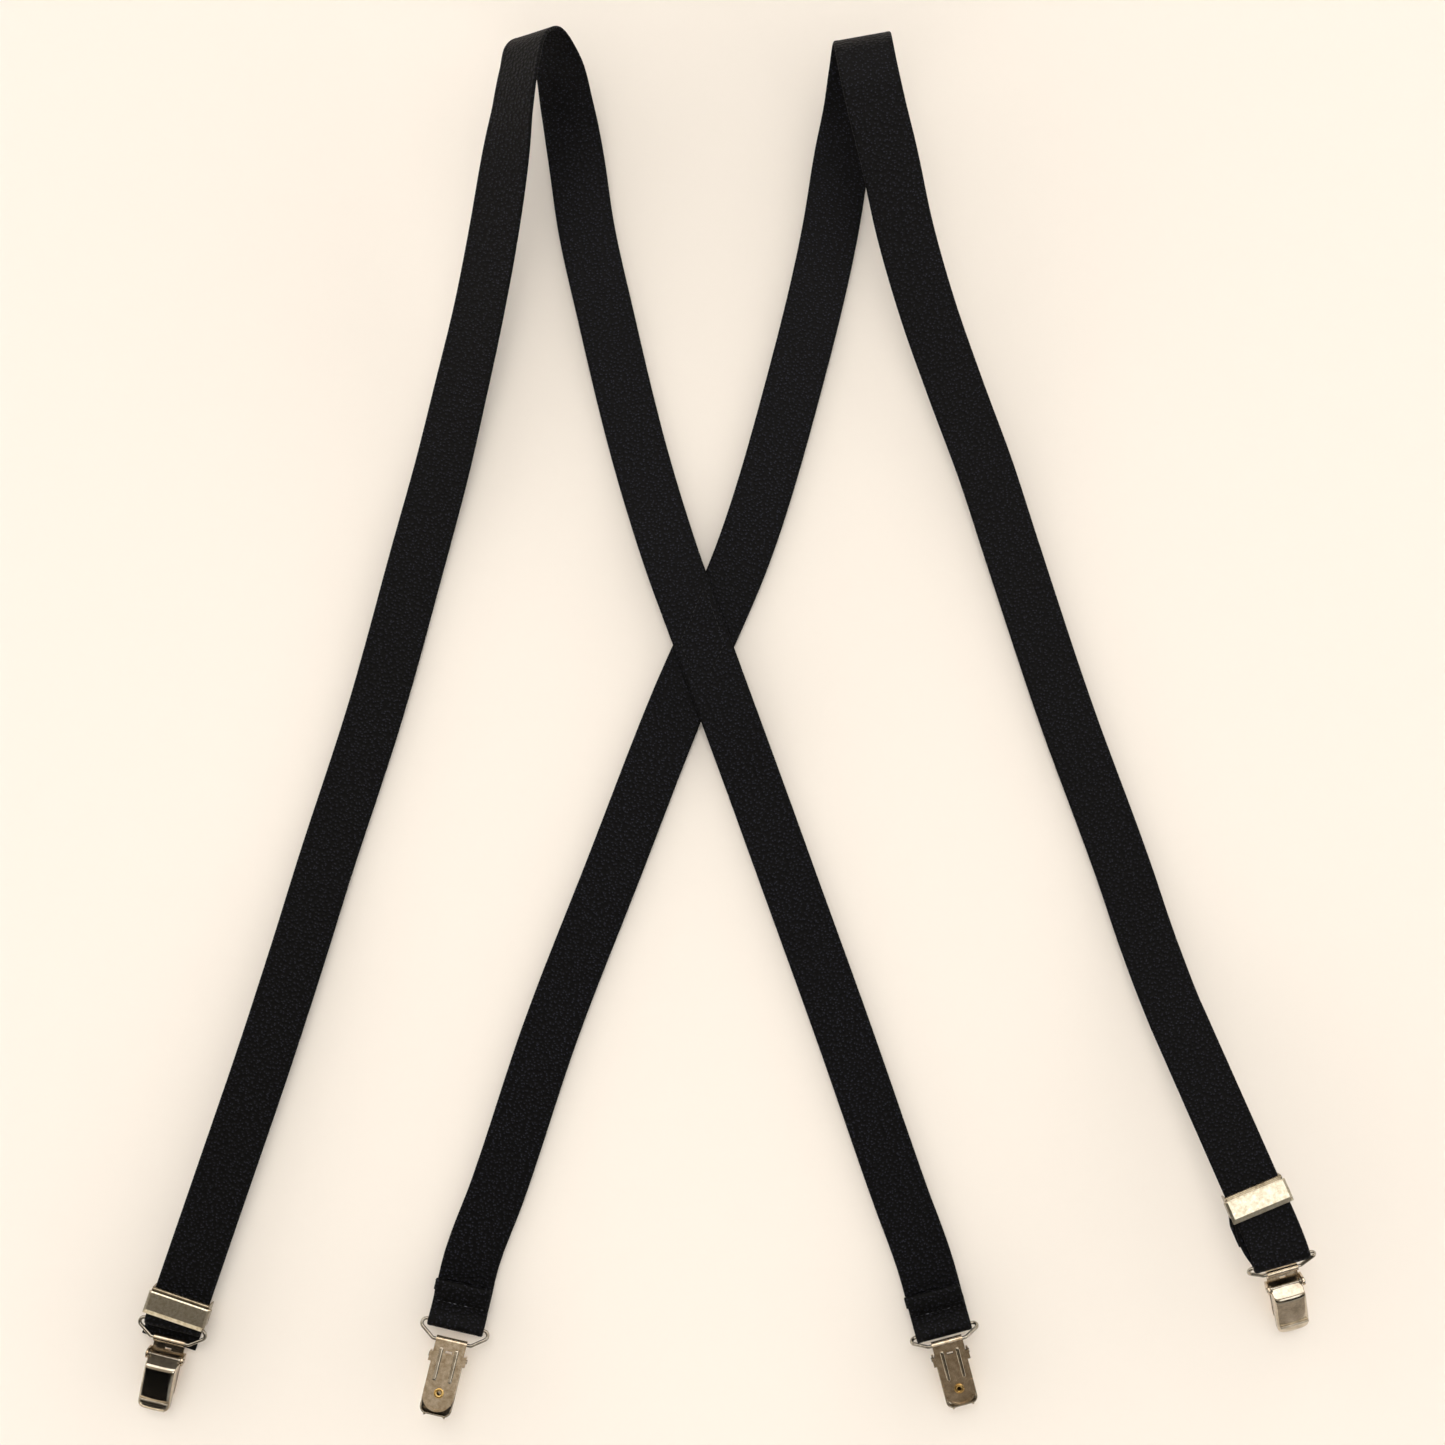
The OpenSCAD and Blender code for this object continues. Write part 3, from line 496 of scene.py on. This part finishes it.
def makeWebbing(name, rings, startAt=0.0, extra=0.0):
    # the profile carried along the rings, closed at both ends; v is the distance along
    middles, wides, throughs = rings
    loop, side = webbingProfile(extra)
    points = middles[:, None] + wides[:, None] * loop[None, :, :1] + throughs[:, None] * loop[None, :, 1:]
    count, around = points.shape[:2]
    distance = startAt + np.concatenate([[0], np.cumsum(np.linalg.norm(np.diff(middles, axis=0), axis=1))])
    uvs = np.stack(np.broadcast_arrays(loop[None, :, 0] / 10, distance[:, None] / 10), 2).reshape(-1, 2)
    caps = [np.arange(around).tolist(), np.arange(count * around)[:-around - 1:-1].tolist()]
    faces = closedQuads(count, around).tolist() + caps
    piece = makeObject(name, points.reshape(-1, 3) * mm, faces, [elasticInner, elasticOuter], uvs)
    faceSide = np.concatenate([np.broadcast_to(side[None, :], (count - 1, around)).ravel(), [1, 1]])
    piece.data.polygons.foreach_set("material_index", faceSide.astype(np.int32))
    return piece, float(distance[-1])


def smoothRoute(points):
    # cubic between two points; each point's slope is its neighbours' slopes weighted by their distances
    p = np.asarray(points, float)
    gap = np.linalg.norm(np.diff(p[:, :3], axis=0), axis=1)
    step = np.diff(p, axis=0) / gap[:, None]
    inner = (step[:-1] * gap[1:, None] + step[1:] * gap[:-1, None]) / (gap[:-1] + gap[1:])[:, None]
    slope = np.concatenate([step[:1], inner, step[-1:]])
    parts = []
    for n in range(len(gap)):
        t = np.linspace(0, 1, max(3, int(np.ceil(gap[n] / webSet["step"]))), endpoint=False)[:, None]
        parts.append(p[n] * (2 * t**3 - 3 * t**2 + 1) + slope[n] * gap[n] * (t**3 - 2 * t**2 + t)
                     + p[n + 1] * (3 * t**2 - 2 * t**3) + slope[n + 1] * gap[n] * (t**3 - t**2))
    return np.concatenate(parts + [p[-1:]])


def arcPoints(y, z, radius, fromDeg, toDeg, steps):
    # points at even angles on a circle round (y, z)
    a = np.radians(np.linspace(fromDeg, toDeg, steps + 1))
    return np.stack([y + radius * np.cos(a), z + radius * np.sin(a)], 1)


def hemPath():
    # back hem: turned-under end, flap, round the bail's bar, onto the strap; [y, z] in mm
    flapZ = tableZ + webSet["thick"] + webSet["gap"]
    ridgeZ = flapZ + webSet["thick"] + webSet["gap"]
    foldR, hem, turnR = (ridgeZ - flapZ) / 2, webSet["hem"], 2.0
    turnedUnder = [[hem - 4.6, flapZ], [hem - 3, flapZ]]
    ridge = [[hem - 3, ridgeZ], [hem - 5.2, ridgeZ], [hem - 6.6, (ridgeZ + flapZ) / 2], [hem - 7.8, flapZ]]
    flap = [[8, flapZ], [6, flapZ + 0.1], [3, 3.6]]
    fold = arcPoints(hem - foldR, flapZ + foldR, foldR, -90, 90, 10)
    roundBar = arcPoints(0, tableZ + turnR, turnR, 68, 270, 16)
    return np.concatenate([turnedUnder, fold, ridge, flap, roundBar, [[3, tableZ], [6, tableZ]]])


# Each strap's route, in mm: x, y, height of its middle, and its roll in degrees; "turn" is
# the heading of its width direction
routes = {
    "left": {"end": "back_right", "frame": leftFrame, "turn": 0, "points": [
        (79, -205, 0.8, 0), (54, -133, 0.8, 0), (28, -61, 0.8, 0), (15, -25, 0.8, 0), (4, 5, 2.3, 0),
        (-11, 46, 2.3, 0), (-22, 76, 2.3, 0), (-34, 114, 0.8, 0), (-53, 190, 0.8, 0), (-61, 226, 1.2, 0),
        (-66, 260, 3, 6), (-69.5, 280, 6, 18), (-73.5, 297.5, 12, 30), (-81, 307, 20, 36), (-85.5, 301.5, 27, 39),
        (-88, 290, 29.5, 41), (-91.5, 271, 27, 39), (-94.5, 255, 23, 31), (-101, 222, 15, 24), (-108.5, 188, 9, 20),
        (-117, 154, 5, 13), (-126, 118, 2.8, 6), (-136, 82, 1.6, 0), (-156, 10, 1, 0), (-179, -61, 1.2, 0),
        (-190, -97, 2.2, 0)]},
    "right": {"end": "back_left", "frame": rightFrame, "turn": 10, "points": [
        (-101, -205, 0.8, 0), (-77, -133, 0.8, 0), (-49, -61, 0.8, 0), (-21, 11, 0.8, 0), (10, 83, 0.8, 0),
        (31.6, 155, 0.8, 0), (48.6, 227, 1, 0), (54, 260, 1.8, 0), (58, 280, 3.5, 0), (60, 296, 9, 0),
        (61, 305, 20, 0), (61, 299, 30, 0), (63, 286, 34, 0), (67, 270, 31.5, 0), (72, 253, 27, 0),
        (80, 222, 19, 0), (91, 188, 12, 0), (104, 154, 6.5, 0), (118, 118, 3.2, 0), (130, 82, 1.6, 0),
        (154, 10, 1, 0), (180, -61, 1.2, 0), (192, -97, 2.6, 0)]},
}


def bridgeRings(p, q, startWay, endWay, startWide, endWide, steps):
    # a curve that leaves p along startWay and reaches q along endWay, its width direction easing over
    t = np.linspace(0, 1, steps + 1)[:, None]
    span = np.linalg.norm(q - p)
    middles = (p * (2 * t**3 - 3 * t**2 + 1) + q * (3 * t**2 - 2 * t**3)
               + startWay * span * (t**3 - 2 * t**2 + t) + endWay * span * (t**3 - t**2))
    return middles, startWide * (1 - t) + endWide * t


def makeStrap(side):
    # hem, the long run over the shoulder fold, and on to the straight front stretch
    route = routes[side]
    f, hem = route["frame"], backHemFrame(ends[route["end"]])
    hemYZ = hemPath()
    hemMiddles = placeIn(hem, hemYZ[:, 0], hemYZ[:, 1])
    # the hem's turned end sits a little aside
    ridgeShift = np.clip((14 - np.arange(len(hemYZ))) / 4, 0, 1) * 0.7
    noRoll = ((0, 0), (0, 1))
    before = np.pad(placeIn(hem, [14, 26], tableZ), noRoll)
    after = np.pad(placeIn(f, [f["straight"], f["straight"] - 12], frontWebZ), noRoll)
    run = smoothRoute(np.concatenate([before, route["points"], after]))
    last = int(np.argmin(np.linalg.norm(run[:, :3] - placeIn(f, f["straight"], frontWebZ), axis=1)))
    run = run[:last + 1]
    lift, turn = np.radians(run[:, 3]), np.radians(route["turn"])
    runWides = np.stack([np.cos(lift) * np.cos(turn), np.cos(lift) * np.sin(turn), np.sin(lift)], 1)
    middles = np.concatenate([hemMiddles, run[:, :3]])
    wides = np.concatenate([np.broadcast_to(acrossOf(hem), hemMiddles.shape), runWides])
    rings = ringsThrough(middles, wides)
    rings[0][:len(hemYZ)] -= acrossOf(hem) * ridgeShift[:, None]
    rings[1][-1] = acrossOf(f)
    rings[2][-1] = np.cross(acrossOf(f), -alongOf(f))
    strap, length = makeWebbing(pieceName("strap", side), rings)
    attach(strap, "straps")
    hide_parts("strap_" + side)
    return length


def makeFrontRun(side, startAt):
    # straight through the adjuster, a slight twist to the bail's heading, round the bail's bar,
    # and back under itself; the last number of each makeWebbing keeps where they meet from flickering
    f, e = routes[side]["frame"], ends["front_" + side]
    radius, leg = 1.9, 1.0
    fAcross, eAcross, fAlong, eAlong = acrossOf(f), acrossOf(e), alongOf(f), alongOf(e)
    startAt -= webSet["overlap"]
    straightY = np.linspace(f["straight"] + webSet["overlap"], f["bend"], 48)
    straight = placeIn(f, straightY, frontWebZ)
    topOfBar = placeIn(e, leg, radius)
    bent, bentWides = bridgeRings(straight[-1], topOfBar, -fAlong, -eAlong, fAcross, eAcross, 16)
    turnYZ = np.concatenate([arcPoints(0, 0, radius, 90, 270, 18), [[leg, -radius]]])
    turned = placeIn(e, turnYZ[:, 0], turnYZ[:, 1])
    middles = np.concatenate([straight, bent[1:], turned])
    wides = np.concatenate([np.broadcast_to(fAcross, straight.shape), bentWides[1:],
                            np.broadcast_to(eAcross, turned.shape)])
    run, runEnd = makeWebbing(pieceName("frontRun", side), ringsThrough(middles, wides), startAt, 0.02)
    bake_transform(run)
    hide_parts("front_run_" + side, "webbing_turn_" + side)
    sewnAt = placeIn(f, hemFrom, returnWebZ)
    back, backWides = bridgeRings(turned[-1], sewnAt, eAlong, fAlong, eAcross, fAcross, 30)
    sway = 0.8 * f["skew"] * np.sin(np.linspace(0, np.pi, len(back))) ** 2
    back = back - fAcross * sway[:, None]
    backRun, backEnd = makeWebbing(pieceName("returnRun", side), ringsThrough(back, backWides), runEnd, 0.01)
    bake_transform(backRun)
    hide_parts("return_run_" + side)
    hem = makeFrontHem(side, f, backEnd)


def makeFrontHem(side, f, startAt):
    # sewn end: back up to the rear bar, round it, and down again under the strap
    wrap = rearBarR + webSet["gap"] + webSet["thick"] / 2
    up = [[hemFrom, returnWebZ], [-5, returnWebZ], [-3.6, returnWebZ + 0.25], [-2.2, rearBarZ + wrap - 0.25]]
    under = np.stack([np.linspace(-1.5, -webSet["hem"], 22), np.full(22, rearBarZ - wrap)], 1)
    path = np.concatenate([up, arcPoints(0, rearBarZ, wrap, 90, -90, 14), under])
    # the cut end lies askew: sideways = skew * (3 share^2 - 2 share^3), on the part under the strap
    share = np.clip((hemFrom - path[:, 0]) / 3, 0, 1) * (np.arange(len(path)) > 12)
    sideways = f["skew"] * share * share * (3 - 2 * share)
    middles = placeIn(f, path[:, 0], path[:, 1]) - acrossOf(f) * sideways[:, None]
    hem, hemEnd = makeWebbing(pieceName("frontHem", side), ringsThrough(middles, acrossOf(f)), startAt)
    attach(hem, side + "_adjuster")
    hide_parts("front_hem_" + side)
    print("suspenders:", side, "webbing from its back hem to its cut front end,", round(hemEnd), "mm")
    return hem


for side in ("left", "right"):
    strapLength = makeStrap(side)
    makeFrontRun(side, strapLength)
print("suspenders: webbing")


# Stitches

stitchSet = {"length": 1.7, "pitch": 2.5, "radius": 0.17, "rise": 0.16, "dive": 0.12, "rings": 6, "sides": 6}


def makeStitches(name, body, node, middles, ways, ups, material):
    # each stitch: a thin tube whose middle rises over the cloth and whose ends dive into it
    s = stitchSet
    t = np.linspace(0, 1, s["rings"])
    turn = fullTurn(s["sides"])
    ways, ups = np.broadcast_to(ways, middles.shape), np.broadcast_to(ups, middles.shape)
    sidesWay = np.cross(ways, ups)
    line = (middles[:, None] + ways[:, None] * ((t - 0.5) * s["length"])[None, :, None]
            + ups[:, None] * (s["rise"] * np.sin(np.pi * t) - s["dive"])[None, :, None])
    radius = s["radius"] * (0.55 + 0.45 * np.sin(np.pi * t))
    points = (line[:, :, None] + sidesWay[:, None, None] * (radius[:, None] * np.cos(turn))[None, :, :, None]
              + ups[:, None, None] * (radius[:, None] * np.sin(turn))[None, :, :, None])
    count, rings, around = points.shape[:3]
    starts = np.arange(count)[:, None] * rings * around
    quads = (starts[:, :, None] + closedQuads(rings, around)[:, ::-1]).reshape(-1, 4)
    firstCaps = starts + np.arange(around)[::-1]
    lastCaps = starts + (rings - 1) * around + np.arange(around)
    faces = quads.tolist() + firstCaps.tolist() + lastCaps.tolist()
    piece = makeObject(name, points.reshape(-1, 3) * mm, faces, [material])
    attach(piece, body)
    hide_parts(node)


def rowPlaces(count):
    # distances from the middle of a row
    return (np.arange(count) - (count - 1) / 2) * stitchSet["pitch"]


hemRow = {"count": 9, "backY": 9.0, "frontY": -5.4}
for side in ("left", "right"):
    hem, f = backHemFrame(ends["back_" + side]), routes[side]["frame"]
    x = rowPlaces(hemRow["count"])[:, None]
    places = placeIn(hem, hemRow["backY"], tableZ + 1.5 * webSet["thick"] + webSet["gap"]) + x * acrossOf(hem)
    makeStitches(pieceName("backHemStitches", side), "straps", "back_hem_stitches_" + side, places,
                 acrossOf(hem), upward, hemThread)
    places = placeIn(f, hemRow["frontY"], returnWebZ + 0.5 * webSet["thick"]) + x * acrossOf(f)
    makeStitches(pieceName("frontHemStitches", side), side + "_adjuster", "front_hem_stitches_" + side,
                 places, acrossOf(f), np.cross(acrossOf(f), alongOf(f)), hemThread)

# The diamond at the crossing: each side lies an inset inside one edge of one strap, and the sides meet at
# the angle between the straps; a side's middle is shifted along it by half width / tan of that angle
crossSet = {"at": (-9, 41), "headings": (20, -24), "inset": 3.5, "upperZ": 2.3}
halfWide = webSet["width"] / 2 - crossSet["inset"]
between = np.radians(crossSet["headings"][0] - crossSet["headings"][1])
sideLength = 2 * halfWide / np.sin(between)
perSide = int((sideLength - 1) // stitchSet["pitch"])
crossMiddle = np.array([*crossSet["at"], crossSet["upperZ"] + webSet["thick"] / 2])
crossPlaces, crossWays = [], []
for heading, sign in zip(crossSet["headings"], (1, -1)):
    strap = {"heading": heading, "slope": 0}
    outWay, way = acrossOf(strap) * halfWide, alongOf(strap)
    for edge in (-1, 1):
        centre = crossMiddle + edge * (outWay + way * sign * halfWide / np.tan(between))
        crossPlaces.append(centre + rowPlaces(perSide)[:, None] * way)
        crossWays.append(np.broadcast_to(way, (perSide, 3)))
makeStitches("crossStitches", "straps", "cross_stitches", np.concatenate(crossPlaces),
             np.concatenate(crossWays), upward, crossThread)
print("suspenders: stitches")


# Levers: pressed covers, bowed across and rounded at every edge

leverSet = {"width": 14.4, "length": 32.2, "height": 6.8, "thick": 0.7, "tipR": 3.4, "base": 0.9,
            "squareness": 9, "bow": 0.5, "fall": 3.2, "crown": 1.4, "pivot": (-7.2, 1.5), "jaw": (-26.8, 3.2)}


def leverProfile():
    # side view from the foot over the lip to the tip, [y, z] in mm, softened by averaging neighbours;
    # the cover's height = height - fall * t + crown * t * (1 - t), t being the share of its length
    s = leverSet
    t = np.linspace(0, 1, 26)
    coverZ = s["height"] - s["fall"] * t + s["crown"] * t * (1 - t)
    cover = np.stack([-11.3 - (s["length"] - 12.6) * t, coverZ], 1)
    foot = np.stack([np.linspace(-6.7, -10.2, 10), np.linspace(1.5, s["height"] - 0.5, 10)], 1)
    tip = np.array([[0.45, 3.5], [0.1, 2.5], [0, 1.6], [0.1, 0.95]]) - [s["length"], 0]
    line = np.concatenate([foot, cover, tip])
    line[1:-1] = (line[:-2] + 2 * line[1:-1] + line[2:]) / 4
    return line


def makeLever(end):
    # over half a turn of the angle: x = half width * |sin|^(2/n),
    # drop = bow * x^2 + (depth - bow) * (1 - |cos|^(2/n))
    s, e = leverSet, ends[end]
    line = leverProfile()
    turn = np.linspace(-np.pi / 2, np.pi / 2, 45)
    n = 2 / s["squareness"]
    x = np.sign(np.sin(turn)) * np.abs(np.sin(turn)) ** n
    share = 1 - np.abs(np.cos(turn)) ** n
    past = np.clip((-s["length"] + s["tipR"]) - line[:, 0], 0, s["tipR"] * 0.985)
    half = s["width"] / 2 - s["tipR"] + np.sqrt(s["tipR"] ** 2 - past ** 2)
    depth = np.maximum(line[:, 1] - s["base"], 0.05)
    bow = np.minimum(s["bow"], depth / 2)[:, None]
    points = np.stack([half[:, None] * x[None], np.broadcast_to(line[:, :1], (len(line), len(x))),
                       line[:, 1:] - bow * x[None] ** 2 - (depth[:, None] - bow) * share[None]], 2)
    name = pieceName("lever", end)
    piece = makeObject(name, clipPoints(e, points) * mm, openQuads(*points.shape[:2]).tolist(), [nickelLever])
    wall = piece.modifiers.new("wall", "SOLIDIFY")
    wall.thickness = s["thick"] * mm
    wall.offset = -1
    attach(piece, end + "_lever")
    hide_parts("lever_" + end)
    # the jaw bar and the two eyes that hold the pin, as one piece of short rods
    outer, inner = s["width"] / 2 - 0.05, s["width"] / 2 - 0.9
    rods = [roundedRod((-6.5, 6.5), s["jaw"], (0.45, 2.2), 4),
            roundedRod((-outer, -inner), s["pivot"], (1.5, 1.5), 2),
            roundedRod((inner, outer), s["pivot"], (1.5, 1.5), 2)]
    allFaces = [(np.array(face) + n * len(rod[0])).tolist() for n, rod in enumerate(rods) for face in rod[1]]
    allPoints = np.concatenate([rod[0] for rod in rods])
    fittings = makeObject(name + "Fittings", clipPoints(e, allPoints) * mm, allFaces, [nickelPin])
    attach(fittings, end + "_lever")


def roundedRod(xs, centre, radii, power):
    # a rod along x whose section is |y/a|^n + |z/b|^n = 1, with its ends drawn in
    around = 24
    t = fullTurn(around)
    section = np.stack([np.sign(np.cos(t)) * np.abs(np.cos(t)) ** (2 / power) * radii[0],
                        np.sign(np.sin(t)) * np.abs(np.sin(t)) ** (2 / power) * radii[1]], 1)
    x0, x1 = xs
    inset = min(0.15, (x1 - x0) / 4)
    stations = [(x0, 1 - inset / max(radii)), (x0 + inset, 1), (x1 - inset, 1), (x1, 1 - inset / max(radii))]
    rings = [np.column_stack([np.full(around, x), section * k + np.array(centre)]) for x, k in stations]
    points = np.concatenate(rings)
    caps = [np.arange(around).tolist(), np.arange(len(points))[:-around - 1:-1].tolist()]
    return points, closedQuads(len(stations), around).tolist() + caps


for end in ends:
    makeLever(end)
print("suspenders: levers")


# Pressed ribs of the clip plates and the rolled rims of their eyelets

trimSet = {"face": -1.7, "ribX": 3.5, "ribY": (-3.5, -16.5), "ribHalf": 0.95, "ribHigh": 0.6,
           "rimY": -22, "rimR": 1.6, "rimTube": 0.55, "rimHigh": 0.22, "rimSunk": 0.25}


def makeClipTrim(end):
    # rib: outline of a slot drawn in by cos(rise) and lifted by sin(rise);
    # rim: a ring, flattened towards the plate
    s, e = trimSet, ends[end]
    steps, around = 8, 32
    rise, turn = np.meshgrid(np.linspace(0, np.pi / 2 - 0.02, steps), fullTurn(around), indexing="ij")
    half = s["ribHalf"] * np.cos(rise)
    x = half * np.cos(turn)
    y = np.where(np.sin(turn) >= 0, s["ribY"][0], s["ribY"][1]) + half * np.sin(turn)
    z = s["face"] - s["ribHigh"] * np.sin(rise)
    one = np.stack([x, y, z], 2).reshape(-1, 3)
    quads = closedQuads(steps, around)
    points = np.concatenate([one + [s["ribX"], 0, 0], one - [s["ribX"], 0, 0]])
    cap = np.arange(len(one) - around, len(one))
    faces = quads.tolist() + (quads + len(one)).tolist() + [cap.tolist(), (cap + len(one)).tolist()]
    ribs = makeObject(pieceName("ribs", end), clipPoints(e, points) * mm, faces, [nickelLever])
    steps, around = 16, 40
    tube, turn = np.meshgrid(fullTurn(steps), fullTurn(around), indexing="ij")
    away = s["rimR"] + s["rimTube"] * np.cos(tube)
    z = s["face"] - s["rimSunk"] - s["rimHigh"] * np.sin(tube)
    rimPoints = np.stack([away * np.cos(turn), s["rimY"] + away * np.sin(turn), z], 2)
    rimFaces = (closedQuads(steps + 1, around) % (steps * around)).tolist()  # the last ring is the first one
    rim = makeObject(pieceName("eyeletRim", end), clipPoints(e, rimPoints) * mm, rimFaces, [brassEyelet])
    for piece, slotName in ((ribs, "nickel_plate"), (rim, "brass")):
        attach(piece, end + "_clip")


for end in ends:
    makeClipTrim(end)
print("suspenders: plate ribs and eyelet rims")


# Flap faces: a thin plate pressed over the flap; each bevel is its width and its drop

faceSet = {"half": 14.3, "low": -6.9, "high": 3.5, "top": 8.12, "rim": 7.05, "thick": 0.1, "edge": 0.14,
           "lowBevel": (2.1, 0.9), "sideBevel": (1.2, 0.6), "highBevel": (0.55, 0.35)}


def makeFlapFace(side):
    # z = top - the largest of the drops at the four edges; each drop falls off evenly over its bevel's width
    # and a skirt goes straight down from the outline to the rim
    s, f = faceSet, routes[side]["frame"]
    lowWide, lowDrop = s["lowBevel"]
    highWide, highDrop = s["highBevel"]
    sideWide, sideDrop = s["sideBevel"]
    half, low, high = s["half"], s["low"], s["high"]
    across = np.concatenate([[-half], np.linspace(-half + sideWide, half - sideWide, 24), [half]])
    along = np.concatenate([[low], np.linspace(low + lowWide, high - highWide, 10), [high]])
    x, y = np.meshgrid(across, along, indexing="ij")
    drops = [lowDrop * np.clip(1 - (y - low) / lowWide, 0, 1),
             highDrop * np.clip(1 - (high - y) / highWide, 0, 1),
             sideDrop * np.clip(1 - (half - np.abs(x)) / sideWide, 0, 1)]
    z = s["top"] - np.maximum.reduce(drops)
    order = np.arange(x.size).reshape(x.shape)
    outline = np.concatenate([order[:, 0], order[-1, 1:], order[-2::-1, -1], order[0, -2:0:-1]])
    lower = x.size + np.arange(len(outline))
    skirt = np.stack([outline, lower, np.roll(lower, -1), np.roll(outline, -1)], 1)
    allX = np.concatenate([x.ravel(), x.ravel()[outline]])
    allY = np.concatenate([y.ravel(), y.ravel()[outline]])
    allZ = np.concatenate([z.ravel(), np.full(len(outline), s["rim"])])
    points = placeIn(f, allY, allZ) + allX[:, None] * acrossOf(f)
    faces = openQuads(*x.shape).tolist() + skirt.tolist()
    piece = makeObject(pieceName("flapFace", side), points * mm, faces, [satinFlap], smooth=False)
    wall = piece.modifiers.new("wall", "SOLIDIFY")
    wall.thickness = s["thick"] * mm
    wall.offset = -1
    edge = piece.modifiers.new("edge", "BEVEL")
    edge.width = s["edge"] * mm
    edge.segments = 2
    edge.limit_method = "ANGLE"
    edge.angle_limit = np.radians(18)
    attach(piece, side + "_adjuster_flap")


for side in ("left", "right"):
    makeFlapFace(side)
print("suspenders: flap faces")


# Finishes of the metal and moulded parts

finishes = {"bail": nickelWire, "clip_plate": nickelPlate, "pivot_pin": nickelPin, "eyelet": brassEyelet,
            "grip_pad": padRubber, "adjuster_frame": adjusterSteel, "adjuster_pin": nickelPin,
            "adjuster_flap": adjusterSteel}
for nodeName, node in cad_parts.items():
    for start, material in finishes.items():
        if nodeName.startswith(start):
            node.material_slots[0].material = material
print("suspenders: finishes")
